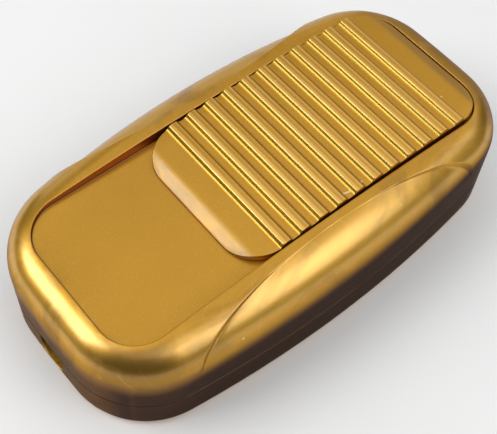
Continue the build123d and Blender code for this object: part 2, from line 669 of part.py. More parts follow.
def suppression_capacitor():
    """Capacitor across the mains, which keeps interference off the cord."""
    return box_capacitor(SUPPRESSION_SIZE, SUPPRESSION_PLACE)


def timing_capacitor():
    """Capacitor that sets how late in each half wave the triac fires."""
    return box_capacitor(TIMING_SIZE, TIMING_PLACE)


def triac():
    """Triac lying on its metal tab, its three leads bent down into the board."""
    tab_length, tab_width, tab_thickness = TRIAC_TAB
    body_length, body_width, body_height = TRIAC_BODY
    y = TRIAC_PLACE[1]
    whole = tab_length + body_length
    tab_top = TRIAC_UNDERSIDE + tab_thickness
    package = block(whole, tab_width, TRIAC_UNDERSIDE, tab_top, TRIAC_PLACE[0], y)
    body_x = TRIAC_BODY_END - body_length / 2
    package += block(body_length, body_width, TRIAC_UNDERSIDE, tab_top + body_height, body_x, y)
    package -= peg(TRIAC_HOLE_RADIUS, 0, TALL, TRIAC_HOLE_X, y)
    lead_z = TRIAC_UNDERSIDE + TRIAC_LEAD_HEIGHT
    for x, lead_y in triac_leads():
        line = [(TRIAC_BODY_END - 1, lead_y, lead_z), (x - TRIAC_LEAD_BEND, lead_y, lead_z)]
        line += [(x, lead_y, lead_z - TRIAC_LEAD_BEND), (x, lead_y, BOARD_UNDERSIDE)]
        package += wire(Polyline(*line), LEAD_RADIUS)
    return package


def heat_sink():
    """Aluminium channel under the triac: a flat floor with an upright fin along each side."""
    over_x, over_y = SINK_OVERHANG
    low_x = TRIAC_TAB_END - over_x
    length = TRIAC_BODY_END + SINK_GAP - low_x
    width = TRIAC_TAB[1] + 2 * (over_y + SINK_SHEET)
    x = low_x + length / 2
    y = TRIAC_PLACE[1]
    channel = block(length, width, BOARD_TOP, BOARD_TOP + SINK_FIN_HEIGHT, x, y)
    channel = fillet(channel.edges().filter_by(Axis.X).sort_by(Axis.Z)[:2], SINK_SHEET)
    channel -= block(length + 2, width - 2 * SINK_SHEET, TRIAC_UNDERSIDE, TALL, x, y)
    return channel - peg(SINK_SCREW[0] + SHANK_CLEARANCE, 0, TALL, TRIAC_HOLE_X, y)


def triac_screw():
    """Screw through the triac's tab, the heat sink and the board."""
    seat = TRIAC_UNDERSIDE + TRIAC_TAB[2]
    return screw(SINK_SCREW, seat, TRIAC_HOLE_X, TRIAC_PLACE[1])


def triac_nut():
    """Hexagon nut under the board."""
    across_corners = NUT_ACROSS_FLATS / cos(radians(30))
    outline = RegularPolygon(across_corners / 2, 6) - Circle(SINK_SCREW[0] + THREAD_FIT)
    nut = prism(outline, BOARD_UNDERSIDE - NUT_HEIGHT, BOARD_UNDERSIDE)
    return Pos(TRIAC_HOLE_X, TRIAC_PLACE[1], 0) * nut


def axial_part(sizes, place):
    """A round body lying on the board with a wire out of each end."""
    body_length, body_radius, span = sizes
    axis_height = BOARD_TOP + AXIAL_LIFT + body_radius
    body = rod(body_radius, body_length, place[0], place[1], axis_height)
    body = chamfer(body.edges().filter_by(GeomType.CIRCLE), body_radius / 3)
    first, last = pair(place, span)
    return body + wire_ends(first[0], last[0], place[1], axis_height)


def resistors():
    """Two resistors of the timing circuit."""
    return group([axial_part(RESISTOR, place) for place in RESISTOR_PLACES])


def diac():
    """Glass trigger diode between the timing circuit and the triac."""
    return axial_part(DIAC, DIAC_PLACE)


def fuse_glass():
    """Glass tube of the fuse."""
    tube_length = FUSE_LENGTH - 2 * FUSE_END_DISC
    tube = rod(FUSE_GLASS_RADIUS, tube_length, *FUSE_PLACE, FUSE_AXIS)
    return tube - rod(FUSE_GLASS_RADIUS - FUSE_GLASS_WALL, FUSE_LENGTH, *FUSE_PLACE, FUSE_AXIS)


def fuse_ends():
    """The fuse's two metal caps and the thin wire between them."""
    ends = rod(FUSE_WIRE_RADIUS, FUSE_LENGTH, *FUSE_PLACE, FUSE_AXIS)
    for side in (1, -1):
        x = FUSE_PLACE[0] + side * CLIP_OFFSET
        cap = rod(FUSE_CAP_RADIUS, FUSE_CAP_LENGTH, x, FUSE_PLACE[1], FUSE_AXIS)
        bore_x = x - side * FUSE_END_DISC
        ends += cap - rod(FUSE_GLASS_RADIUS, FUSE_CAP_LENGTH, bore_x, FUSE_PLACE[1], FUSE_AXIS)
    return ends


def fuse_clip(x):
    """Spring clip: a round grip open at the top, a neck, a flat foot and a pin."""
    inner = FUSE_CAP_RADIUS + CLIP_FIT
    outer = inner + CLIP_SHEET
    opening = radians(CLIP_MOUTH_HALF_ANGLE)
    mouth = Polyline((0, 0), (2 * outer * sin(opening), 2 * outer * cos(opening)),
                     (-2 * outer * sin(opening), 2 * outer * cos(opening)), close=True)
    grip = Circle(outer) - Circle(inner) - make_face(mouth)
    foot_top = BOARD_TOP + CLIP_SHEET - FUSE_AXIS
    neck_top = -inner
    neck = Pos(0, (foot_top + neck_top) / 2) * Rectangle(CLIP_NECK_WIDTH, neck_top - foot_top)
    section = grip + (neck - Circle(inner))
    section += Pos(0, foot_top - CLIP_SHEET / 2) * Rectangle(CLIP_BASE_WIDTH, CLIP_SHEET)
    clip = extrude(Plane.YZ * section, amount=CLIP_WIDTH / 2, both=True)
    clip = Pos(x, FUSE_PLACE[1], FUSE_AXIS) * clip
    return clip + pin(LEAD_RADIUS, BOARD_UNDERSIDE, BOARD_TOP + CLIP_SHEET / 2, x, FUSE_PLACE[1])


def fuse_clips():
    """The two clips that hold the fuse."""
    return group([fuse_clip(x) for x, y in pair(FUSE_PLACE, 2 * CLIP_OFFSET)])


# Terminals and cord clamps

def terminal_block(side):
    """Plastic block with a wire port and a screw well for each way; its ports face the cord."""
    width = TERMINAL_WAYS * TERMINAL_PITCH + 2 * TERMINAL_WALL
    x = side * TERMINAL_X
    body = block(TERMINAL_DEPTH, width, BOARD_TOP, BOARD_TOP + TERMINAL_HEIGHT, x)
    body = fillet(body.edges().filter_by(Axis.Z), TERMINAL_WALL / 2)
    port_x = x + side * TERMINAL_WALL
    for pin_x, y in terminal_pins():
        if pin_x == x:
            body -= block(TERMINAL_DEPTH, PORT_WIDTH, CAGE_FLOOR, CAGE_FLOOR + PORT_HEIGHT, port_x, y)
            body -= peg(WELL_RADIUS, CAGE_FLOOR + 1, TALL, x, y)
            body -= peg(LEAD_RADIUS + LEAD_CLEARANCE, 0, CAGE_FLOOR + 1, x, y)
    return body


def input_terminal_block():
    """Terminal block for the cord from the plug."""
    return terminal_block(-1)


def output_terminal_block():
    """Terminal block for the cord to the lamp."""
    return terminal_block(1)


def terminal_cages():
    """Brass cages in the terminal ports: square tubes with a screw hole and a pin."""
    cages = []
    for x, y in terminal_pins():
        width = PORT_WIDTH - 2 * CAGE_GAP
        top = CAGE_FLOOR + CAGE_HEIGHT
        port_x = x + (TERMINAL_WALL if x > 0 else -TERMINAL_WALL) / 2
        cage = block(CAGE_LENGTH, width, CAGE_FLOOR, top, port_x, y)
        cage -= block(2 * TERMINAL_DEPTH, width - 2 * CAGE_WALL, CAGE_FLOOR + CAGE_WALL, top - CAGE_WALL, x, y)
        cage -= peg(TERMINAL_SCREW[0] + THREAD_FIT, top - 2 * CAGE_WALL, TALL, x, y)
        cages.append(cage + pin(LEAD_RADIUS, BOARD_UNDERSIDE, CAGE_FLOOR + CAGE_WALL / 2, x, y))
    return group(cages)


def terminal_screws():
    """Screws that press the wires down in their cages."""
    seat = CAGE_FLOOR + CAGE_HEIGHT + TERMINAL_SCREW_LIFT
    return group([screw(TERMINAL_SCREW, seat, x, y) for x, y in terminal_pins()])


def cord_clamp(side):
    """Bar across the cord entry, with a rounded tooth that presses on the cord."""
    x = side * CLAMP_X
    length = 2 * (CLAMP_SCREW_OFFSET + CLAMP_BAR_OVERHANG)
    bar_top = CLAMP_POST_TOP + CLAMP_BAR_THICKNESS
    bar = block(CLAMP_BAR_WIDTH, length, CLAMP_POST_TOP, bar_top, x)
    bar = fillet(bar.edges().filter_by(Axis.Z), CLAMP_BAR_CORNER)
    bar += log(TOOTH_RADIUS, TOOTH_LENGTH, x, 0, CLAMP_POST_TOP)
    for y in (CLAMP_SCREW_OFFSET, -CLAMP_SCREW_OFFSET):
        bar -= peg(CLAMP_SCREW[0] + SHANK_CLEARANCE, 0, TALL, x, y)
    return bar


def input_cord_clamp():
    """Clamp for the cord from the plug."""
    return cord_clamp(-1)


def output_cord_clamp():
    """Clamp for the cord to the lamp."""
    return cord_clamp(1)


def clamp_screws():
    """Screws of both cord clamps."""
    seat = CLAMP_POST_TOP + CLAMP_BAR_THICKNESS
    return group([screw(CLAMP_SCREW, seat, x, y) for x, y in CLAMP_SCREW_PLACES])


HOUSING = [upper_shell, base_shell, housing_screws, slider]
BOARD = [circuit_board, solder_joints, board_screws, pot_case, pot_track, pot_carriage, pot_wiper]
BOARD += [choke_core, choke_winding, suppression_capacitor, timing_capacitor, resistors, diac]
BOARD += [triac, heat_sink, triac_screw, triac_nut, fuse_glass, fuse_ends, fuse_clips]
CONNECTIONS = [input_terminal_block, output_terminal_block, terminal_cages, terminal_screws]
CONNECTIONS += [input_cord_clamp, output_cord_clamp, clamp_screws]

for make_piece in HOUSING + BOARD + CONNECTIONS:
    export_step(make_piece(), f"parts/{make_piece.__name__}.step")
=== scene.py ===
"""Looks of a foot dimmer in satin pearl gold plastic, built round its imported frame."""

import json
from math import cos, pi, radians, sin

import bmesh
import bpy
import numpy as np
from bpy.props import FloatProperty, FloatVectorProperty, IntProperty, PointerProperty
from mathutils import Matrix, Vector

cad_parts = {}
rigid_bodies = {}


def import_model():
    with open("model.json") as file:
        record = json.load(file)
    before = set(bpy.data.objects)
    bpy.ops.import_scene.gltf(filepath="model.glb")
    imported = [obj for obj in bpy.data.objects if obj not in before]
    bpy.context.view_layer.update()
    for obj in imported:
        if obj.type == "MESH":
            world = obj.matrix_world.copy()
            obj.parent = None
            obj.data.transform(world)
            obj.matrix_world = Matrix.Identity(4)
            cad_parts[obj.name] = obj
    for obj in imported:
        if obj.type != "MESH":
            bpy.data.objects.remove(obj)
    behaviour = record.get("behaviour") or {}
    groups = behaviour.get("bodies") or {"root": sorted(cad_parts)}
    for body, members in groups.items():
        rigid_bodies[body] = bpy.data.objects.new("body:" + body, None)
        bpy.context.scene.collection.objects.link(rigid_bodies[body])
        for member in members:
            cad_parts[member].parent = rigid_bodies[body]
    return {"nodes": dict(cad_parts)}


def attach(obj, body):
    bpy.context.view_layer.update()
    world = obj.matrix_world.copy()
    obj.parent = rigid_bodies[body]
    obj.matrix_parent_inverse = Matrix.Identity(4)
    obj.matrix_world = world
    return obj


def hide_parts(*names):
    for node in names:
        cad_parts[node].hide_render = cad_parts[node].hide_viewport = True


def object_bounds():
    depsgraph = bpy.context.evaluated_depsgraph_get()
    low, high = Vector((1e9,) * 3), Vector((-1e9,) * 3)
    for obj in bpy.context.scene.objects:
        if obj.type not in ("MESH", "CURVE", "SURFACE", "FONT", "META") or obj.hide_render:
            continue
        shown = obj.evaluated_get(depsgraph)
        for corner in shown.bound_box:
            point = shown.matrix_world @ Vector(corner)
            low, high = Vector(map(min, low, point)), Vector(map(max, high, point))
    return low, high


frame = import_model()
CAD_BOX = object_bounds()

bl_info = {
    "name": "Foot Dimmer",
    "version": (1, 0, 0),
    "blender": (4, 5, 0),
    "location": "3D View > Sidebar > Foot Dimmer",
    "description": "Builds the shells, slider, inner parts, finishes and stage of a foot dimmer",
    "category": "Object",
}

MM = 0.001
# Mesh steps of the outline's ends, corners and sides, and of one turn of a post and of a screw
END_STEPS = 24
CORNER_STEPS = 26
SIDE_STEPS = 96
TURN_STEPS = 28
SCREW_STEPS = 20
# Mesh steps of the slider: along its flat part, round a corner, over a ridge, across, and in its hollow
PLATE_STEPS = 28
BEND_STEPS = 16
RIDGE_STEPS = 7
ACROSS_STEPS = 13
HOLLOW_STEPS = 25
# Mesh steps of a rib's rounded edge and foot, of the base's lower edge and of a cord notch
RIB_STEPS = 8
EDGE_STEPS = 9
NOTCH_STEPS = 25
# Halvings in a search along the shoulder
HALVINGS = 40
# Points closer than this, in metres, are one point, and lengths below the next value are nothing
DOUBLE = 1e-7
TINY = 1e-12
# Edges sharper than this, in degrees, are shaded sharp: on most pieces, on ribs and on screws
SHARP = 32.0
RIB_SHARP = 50.0
SCREW_SHARP = 40.0


def size(about, millimetres):
    """A length that a user can change, given here in millimetres."""
    return FloatProperty(description=about, default=millimetres * MM, unit="LENGTH", precision=5)


def colour(about, *tint):
    """A colour that a user can change, in linear values."""
    limits = {"min": 0, "max": 1}
    return FloatVectorProperty(description=about, default=(*tint, 1.0), size=4, subtype="COLOR", **limits)


def share(about, default):
    """A plain number from 0 to 1."""
    return FloatProperty(description=about, default=default, min=0, max=1)


def power(about, default):
    """A lamp's power in watts, or the strength of the sky."""
    return FloatProperty(description=about, default=default, min=0)


class HousingSizes(bpy.types.PropertyGroup):
    """Sizes of the two shells."""

    length: size("Housing from end to end", 113.4)
    width: size("Housing from side to side", 59.2)
    side_bow: size("Radius of the bowed long sides", 283)
    end_bow: size("Radius of the bowed ends", 320)
    corner: size("Radius of the corners seen from above", 18.9)
    parting: size("Height of the line where the shells meet", 10)
    crest: size("Height of the top at its middle", 27.8)
    arch: size("Radius of the arch along the top", 556)
    shoulder: size("Radius of the rolled shoulder", 7.3)
    bottom_edge: size("Radius round the underside", 2.6)
    seam_edge: size("Radius of both edges at the parting line", 0.2)
    wall: size("Thickness of the shells", 2.2)
    hollow: size("Radius of the rolled shoulder inside the top shell", 7.5)
    floor: size("Thickness of the underside", 2)
    rebate: size("Wall left outside the rebate", 1)
    tongue: size("Height of the tongue over the parting line", 1.6)
    tongue_gap: size("Clearance round the tongue", 0.15)


class ScallopSizes(bpy.types.PropertyGroup):
    """Sizes of the leaf-shaped scallop in each flank."""

    shoulder: size("Radius of the shoulder inside the scallop", 9.7)
    from_end: size("Distance of its tip from the housing's end", 12.7)
    from_side: size("How far it reaches in from the housing's side", 8.3)
    half_width: size("Half the width of the ellipse that bounds it", 11.5)
    crease: size("How softly its edge is rounded", 0.22)


class TrackSizes(bpy.types.PropertyGroup):
    """Sizes of the slider's sunk track."""

    from_end: size("Distance from the housing's end", 6.7)
    from_side: size("Distance from the housing's side", 10.2)
    corner: size("Radius of its corners seen from above", 9)
    floor: size("Height of its floor", 24.8)
    thickness: size("Thickness of its floor", 2)
    wall: size("Thickness of the wall round it", 1.8)
    edge: size("Radius of its upper edge", 0.22)
    foot: size("Radius where its wall meets its floor", 0.3)
    slot_length: size("Slot for the slider's legs, along the track", 37.4)
    slot_width: size("Slot for the slider's legs, across the track", 10.2)


class SliderSizes(bpy.types.PropertyGroup):
    """Sizes of the ribbed slider."""

    length: size("Slider along its travel", 69.4)
    width: size("Slider across its travel", 37.9)
    middle: size("Where its middle rests, from the housing's middle", 15)
    corner: size("Radius of its corners seen from above", 8.55)
    underside: size("Height of its running face", 24.95)
    crest: size("Height of the valleys at its middle", 28)
    arch: size("Radius of the arch along it", 360)
    bevel: size("Length of the bevel at each end", 2.9)
    bevel_drop: size("Height that the bevel loses", 1)
    ridge: size("How far the bevel's ridge is softened, each way", 0.85)
    edge: size("Radius of its upper edge and of the ribs' ends", 0.22)
    skin: size("Thickness of its top", 1.4)
    skirt: size("Thickness of its side walls", 1.6)
    stiffener: size("Distance of its two lengthwise ribs from the middle", 11.5)
    end_block: size("Solid length at each end", 7)
    stiffener_half: size("Half the thickness of those ribs", 0.6)
    stem: size("Length of the lever socket and of the snap legs", 6.8)
    stem_half: size("Half the thickness of the lever socket", 2)
    stem_bottom: size("Height of the socket's lower end", 18.4)
    pocket_half: size("Half the width of the pocket in the socket", 0.8)
    pocket_reach: size("Half the length of that pocket", 2.2)
    pocket_top: size("Height that the pocket reaches", 23.6)
    leg_inner: size("Inner face of the snap legs, from the middle", 3.6)
    leg_outer: size("Outer face of the snap legs, from the middle", 4.8)
    barb: size("Reach of the legs' barbs, from the middle", 6.1)
    barb_top: size("Height of the barbs' upper faces", 22.65)
    barb_height: size("Height of a barb", 1.8)
    ribs: IntProperty(description="Number of ribs", default=11, min=1)
    rib_pitch: size("Distance between ribs along the arch", 5)
    rib_width: size("Width of a rib", 2)
    rib_height: size("Height of a rib over the valleys", 1)
    rib_draft: size("How far a rib's flank leans out at its foot", 0.42)
    rib_crown: size("How far a rib's top rises between its edges", 0.07)
    rib_round: size("Radius of a rib's upper edges", 0.62)
    rib_foot: size("Radius where a rib meets the valley", 0.9)
    rib_root: size("How deep a rib's section reaches below the valleys", 0.6)


class FixingSizes(bpy.types.PropertyGroup):
    """Sizes and places of posts, bores and notches inside the shells."""

    screw_x: size("Housing screws from the middle, lengthwise", 44)
    screw_y: size("Housing screws from the middle, crosswise", 16.6)
    seat: size("Height of the housing screws' seats", 4)
    head_bore: size("Radius of the pockets for the screw heads", 3.1)
    shank_bore: size("Radius of the holes through the base", 1.65)
    thread_bore: size("Radius of the holes that the housing screws bite in", 1.5)
    thread_top: size("Height that those holes reach", 20.05)
    boss: size("Radius of the top shell's bosses", 3.3)
    pillar: size("Radius of the base's pillars", 4.4)
    board_x: size("Board posts from the middle, lengthwise", 33)
    board_y: size("Board posts from the middle, crosswise", 17)
    board_top: size("Height of the board posts", 4.8)
    board_post: size("Radius of the board posts", 2.4)
    board_bore: size("Radius of the holes in the board posts", 1.05)
    board_depth: size("Height that those holes reach down to", 2.15)
    clamp_x: size("Clamp posts from the middle, lengthwise", 45)
    clamp_y: size("Clamp posts from the middle, crosswise", 8)
    clamp_top: size("Height of the clamp posts", 9.3)
    clamp_post: size("Radius of the clamp posts", 2.9)
    clamp_bore: size("Radius of the holes in the clamp posts", 1.25)
    clamp_depth: size("Height that those holes reach down to", 4.85)
    saddle: size("Radius of the ridges under the cord", 0.8)
    saddle_gap: size("Half the distance between two ridges", 2.2)
    saddle_length: size("Length of the ridges under the cord", 7)
    notch: size("Radius of the cord notches", 4)
    notch_edge: size("Bevel round the outside of the cord notches", 0.25)
    rib_length: size("Ribs under the track's floor", 76)
    rib_width: size("Thickness of the ribs under the track's floor", 1.4)
    rib_depth: size("Depth of the ribs under the track's floor", 2.8)
    rib_offset: size("Distance of those ribs from the middle", 12)


class GoldFinish(bpy.types.PropertyGroup):
    """Colours and gloss of the pearl gold plastic, and the highlight and shade painted onto it."""

    pearl: colour("Colour that the pearl flakes give the plastic", 0.62, 0.315, 0.03)
    # Laid as painted shade over the housing's far end and, with the scuffed colour, over the slider's far
    # bevel; also the colour of the flow-line swirls and of a darker patch at the near-left corner
    shade: colour("Colour where the flakes stand on edge along flow lines", 0.36, 0.19, 0.03)
    # Painted shade: this dark colour is laid over the shells' upright outer walls
    wall: colour("Colour of upright walls, where the melt turned the flakes on edge", 0.065, 0.04, 0.026)
    # Painted shade: this darker colour is laid over the ribs' steep flanks
    olive: colour("Colour of the ribs' flanks", 0.4, 0.3, 0.035)
    # Also laid as painted shade in the corner where the track's wall meets its floor
    seam: colour("Colour of grime in the parting line and in corners", 0.04, 0.017, 0.007)
    # Painted shade: laid on the track's wall and on the slider's sides, in the gap between them
    gap: colour("Colour deep in the gap round the slider", 0.2, 0.045, 0.014)
    glint: colour("Colour of single flakes and of bright flow lines", 1.0, 0.72, 0.28)
    # Also part of the painted shade tone on the slider's far bevel
    worn: colour("Colour of skin that shoes have scuffed", 0.47, 0.33, 0.17)
    # Painted highlight: a paler gold laid over the shoulders and the ribs' edges and tops
    sheen: colour("Paler gold of the shoulders and rib tops, where the flakes lie flat", 0.86, 0.49, 0.08)
    dust: colour("Colour of dust specks and nicks", 0.9, 0.72, 0.45)
    metallic: share("How much of the surface shines as metal flakes do", 0.85)
    gloss: share("Roughness of the satin surface", 0.36)
    seam_height: size("Height of the parting line, where grime gathers", 10)
    coat: share("Strength of the clear skin over the flakes", 0.2)
    polish: share("Strength of the clear skin on shoulders and rib edges", 0.75)


class InnerFinish(bpy.types.PropertyGroup):
    """Colours of what is inside the housing."""

    steel: colour("Zinc-plated screws, nut and sheet", 0.56, 0.57, 0.58)
    nickel: colour("Plated caps and clips", 0.66, 0.63, 0.58)
    solder: colour("Solder joints", 0.6, 0.61, 0.63)
    aluminium: colour("Heat sink", 0.72, 0.73, 0.74)
    brass: colour("Springs and terminal cages", 0.72, 0.5, 0.2)
    copper: colour("Choke wire", 0.7, 0.25, 0.09)
    board: colour("Pressed laminate", 0.42, 0.24, 0.1)
    glass: colour("Fuse", 0.93, 0.96, 0.95)
    resistor: colour("Lacquer of the resistors", 0.55, 0.4, 0.22)
    diac: colour("Glass body of the trigger diode", 0.06, 0.12, 0.4)
    strip: colour("Track of the slide potentiometer", 0.05, 0.04, 0.035)
    black: colour("Carriage and triac body", 0.025, 0.025, 0.027)
    ferrite: colour("Choke core", 0.07, 0.068, 0.066)
    capacitor: colour("Boxes of the capacitors", 0.5, 0.09, 0.03)
    white: colour("Terminal blocks and cord clamps", 0.78, 0.77, 0.72)


class StageLook(bpy.types.PropertyGroup):
    """Floor and light."""

    floor: colour("Colour of the plain pale floor", 0.93, 0.93, 0.93)
    key: power("Power of the lamp at the upper left", 2.25)
    fill: power("Power of the lamp overhead", 3.1)
    front: power("Power of the lamp over the near side", 2.3)
    back: power("Power of each low lamp behind the object", 1.1)
    sky: power("Strength of the even light from above", 0.08)


def compass(start, stop, steps):
    """Directions at even angles, without the last."""
    angles = np.linspace(start, stop, steps, endpoint=False)
    return np.column_stack((np.cos(angles), np.sin(angles)))


def flat(plan, height):
    """Points in space over points seen from above."""
    return np.column_stack((plan[:, 0], plan[:, 1], np.broadcast_to(height, len(plan))))


class Outline:
    """Points round a closed outline seen from above, with the outward direction at each."""

    def __init__(self, points, normals):
        self.points = points
        self.normals = normals

    def inset(self, distance):
        """The outline moved inwards by an even distance."""
        return Outline(self.points - distance * self.normals, self.normals)

    def ring(self, inset, height):
        """Points in space at one inset and height."""
        return flat(self.points - inset * self.normals, height)


def housing_outline(housing):
    """Bowed ends and sides that are joined by round corners."""
    end_centre = housing.length / 2 - housing.end_bow
    side_centre = housing.width / 2 - housing.side_bow
    end_reach = housing.end_bow - housing.corner
    side_reach = housing.side_bow - housing.corner
    apart = np.hypot(end_centre, side_centre)
    along = (end_reach**2 - side_reach**2 + apart**2) / (2 * apart)
    across = np.sqrt(end_reach**2 - along**2)
    toward = np.array((-end_centre, side_centre)) / apart
    x, y = np.array((end_centre, 0)) + along * toward + across * np.array((-toward[1], toward[0]))
    end_turn = np.arctan2(y, x - end_centre)
    side_turn = np.arctan2(y - side_centre, x)
    points = []
    normals = []
    for half in (0, pi):
        sign = cos(half)
        far = half + pi
        for centre, radius, start, stop, steps in (
            ((sign * end_centre, 0), housing.end_bow, half - end_turn, half + end_turn, END_STEPS),
            ((sign * x, sign * y), housing.corner, half + end_turn, half + side_turn, CORNER_STEPS),
            ((0, sign * side_centre), housing.side_bow, half + side_turn, far - side_turn, SIDE_STEPS),
            ((-sign * x, sign * y), housing.corner, far - side_turn, far - end_turn, CORNER_STEPS),
        ):
            normals.append(compass(start, stop, steps))
            points.append(centre + radius * normals[-1])
    return Outline(np.concatenate(points), np.concatenate(normals))


class Shoulder:
    """The rolled edge between an upright wall and an arched top, at every point of an outline."""

    def __init__(self, outline, arch, crest, radius):
        self.outline = outline
        self.arch = arch
        self.crest = crest
        self.radius = radius
        centre = outline.points - radius * outline.normals
        lean = centre[:, 0] / (arch - radius)
        upright = np.sqrt(1 - lean**2)
        self.centre = np.column_stack((centre, crest - arch + (arch - radius) * upright))
        self.out = np.column_stack((outline.normals, np.zeros(len(lean))))
        top = np.column_stack((lean, np.zeros(len(lean)), upright))
        along = (top * self.out).sum(1)
        self.up = (top - along[:, None] * self.out) / np.sqrt(1 - along**2)[:, None]
        self.end = radius * np.arccos(along)

    def at(self, distance):
        """Points at a distance over the shoulder: down the wall below 0, and on the arch past its end."""
        rolled = np.clip(distance, 0, self.end)
        turn = (rolled / self.radius)[:, None]
        points = self.centre + self.radius * (np.cos(turn) * self.out + np.sin(turn) * self.up)
        points[:, 2] += np.minimum(distance, 0)
        past = np.maximum(distance - self.end, 0)
        points -= past[:, None] * self.out
        on_arch = self.crest - self.arch + np.sqrt(self.arch**2 - points[:, 0] ** 2)
        points[:, 2] = np.where(past > 0, on_arch, points[:, 2])
        return points

    def run(self, first, last, steps):
        """Rings evenly spaced over the shoulder between two distances, without the first."""
        return [self.at(first + (last - first) * part) for part in np.linspace(0, 1, steps + 1)[1:]]

    def reach(self, is_past):
        """The distance over the shoulder at which each column first passes a test."""
        low = np.zeros(len(self.end))
        high = low + self.outline.points[:, 1].max()
        for _ in range(HALVINGS):
            middle = (low + high) / 2
            past = is_past(self.at(middle))
            high = np.where(past, middle, high)
            low = np.where(past, low, middle)
        return high


def between(first, last, steps):
    """Rings evenly spaced between two rings, without the first."""
    return [first + (last - first) * step / steps for step in range(1, steps + 1)]


def curve(first, corner, last, steps):
    """Rings on a smooth bend from one ring to another, pulled towards a third between them."""
    rings = []
    for t in np.linspace(0, 1, steps + 1)[1:]:
        rings.append((1 - t) ** 2 * first + 2 * t * (1 - t) * corner + t**2 * last)
    return rings


def rounded_gap(points, half_length, half_width, corner):
    """Distance outside a rounded rectangle, and the outward direction at each point."""
    past = np.abs(points[:, :2]) - (half_length - corner, half_width - corner)
    outer = np.maximum(past, 0)
    far = np.hypot(outer[:, 0], outer[:, 1])
    direction = outer / np.maximum(far, TINY)[:, None] * np.sign(points[:, :2])
    return far + np.minimum(past.max(1), 0) - corner, direction


def block(low_y, high_y, low_z, high_z):
    """A rectangular section for a prism."""
    return [(low_y, low_z), (high_y, low_z), (high_y, high_z), (low_y, high_z)]


def slice_at(x, section):
    """A section of Y and Z points as one ring in space."""
    return np.array([(x, y, z) for y, z in section])


class Form:
    """Points and faces gathered for one piece."""

    def __init__(self):
        self.points = []
        self.faces = []

    def rings(self, rings, closed=False, caps=(True, True), round_about=True):
        """Quads between rings, or between open rows when they don't go round about. A closed form joins
        its last ring to its first, and a cap is one flat face."""
        start = len(self.points)
        count = len(rings[0])
        for ring in rings:
            self.points += [tuple(point) for point in ring]
        for row in range(len(rings) if closed else len(rings) - 1):
            low = start + row * count
            high = start + (row + 1) % len(rings) * count
            for column in range(count if round_about else count - 1):
                after = (column + 1) % count
                self.faces.append((low + column, low + after, high + after, high + column))
        for cap, first in zip(caps, (start, len(self.points) - count)):
            if cap and not closed:
                self.faces.append(tuple(range(first, first + count)))
        return self

    def turned(self, profile, x, y, closed=False):
        """A turned shape round an upright axis, from a profile of radii and heights."""
        turn = compass(0, 2 * pi, TURN_STEPS)
        return self.rings([flat((x, y) + radius * turn, height) for radius, height in profile], closed)

    def prism(self, section, low, high):
        """A section of Y and Z points carried along X."""
        return self.rings([slice_at(low, section), slice_at(high, section)])

    def piece(self, name):
        """One object, with doubles merged and its faces turned outwards."""
        mesh = bpy.data.meshes.new(name)
        mesh.from_pydata(self.points, [], self.faces)
        work = bmesh.new()
        work.from_mesh(mesh)
        bmesh.ops.remove_doubles(work, verts=work.verts, dist=DOUBLE)
        bmesh.ops.dissolve_degenerate(work, edges=work.edges, dist=DOUBLE)
        bmesh.ops.recalc_face_normals(work, faces=work.faces)
        work.to_mesh(mesh)
        work.free()
        piece = bpy.data.objects.new(name, mesh)
        bpy.context.scene.collection.objects.link(piece)
        return piece


def smooth(piece, angle=SHARP):
    """Smooth shading, except over edges sharper than an angle in degrees."""
    piece.data.shade_smooth()
    piece.data.set_sharp_from_angle(angle=radians(angle))
    return piece


def bake(piece):
    """Turns a piece's modifiers into its own plain mesh."""
    graph = bpy.context.evaluated_depsgraph_get()
    mesh = bpy.data.meshes.new_from_object(piece.evaluated_get(graph))
    piece.modifiers.clear()
    piece.data = mesh


def cut(piece, tool):
    """Takes a closed piece away from another one and uses it up."""
    change = piece.modifiers.new("cut", "BOOLEAN")
    change.operation = "DIFFERENCE"
    change.solver = "EXACT"
    change.object = tool
    bake(piece)
    bpy.data.objects.remove(tool)


def join(piece, *others):
    """Gathers other pieces' faces in one piece, which uses them up."""
    work = bmesh.new()
    for one in (piece, *others):
        work.from_mesh(one.data)
    work.to_mesh(piece.data)
    work.free()
    for other in others:
        bpy.data.objects.remove(other)
    return piece


class Value:
    """The output of a node. Python's operators on it add Math nodes."""

    def __init__(self, maker, socket):
        self.maker = maker
        self.socket = socket

    def math(self, operation, *others):
        """A Math node of that operation, with this value first."""
        inputs = dict(enumerate((self, *others)))
        return self.maker.node("ShaderNodeMath", {"operation": operation}, inputs)

    def __add__(self, other):
        return self.math("ADD", other)

    def __sub__(self, other):
        return self.math("SUBTRACT", other)

    def __rsub__(self, other):
        return self.maker.node("ShaderNodeMath", {"operation": "SUBTRACT"}, {0: other, 1: self})

    def __mul__(self, other):
        return self.math("MULTIPLY", other)

    def __truediv__(self, other):
        return self.math("DIVIDE", other)

    def __pow__(self, other):
        return self.math("POWER", other)

    def least(self, other):
        """The smaller of two values."""
        return self.math("MINIMUM", other)

    def most(self, other):
        """The larger of two values."""
        return self.math("MAXIMUM", other)

    def size(self):
        """The value without its sign."""
        return self.math("ABSOLUTE")


class Tree:
    """A node tree under construction."""

    def __init__(self, tree):
        self.tree = tree

    def node(self, kind, settings=None, inputs=None, output=0):
        """Adds a node: its settings first, then its sockets by name or number. Returns one output."""
        node = self.tree.nodes.new(kind)
        for key, value in (settings or {}).items():
            setattr(node, key, value)
        for key, value in (inputs or {}).items():
            self.feed(node.inputs[key], value)
        return Value(self, node.outputs[output])

    def feed(self, socket, value):
        """Links a value to a socket, or sets the socket's own number or colour."""
        if isinstance(value, Value):
            self.tree.links.new(value.socket, socket)
        else:
            socket.default_value = value


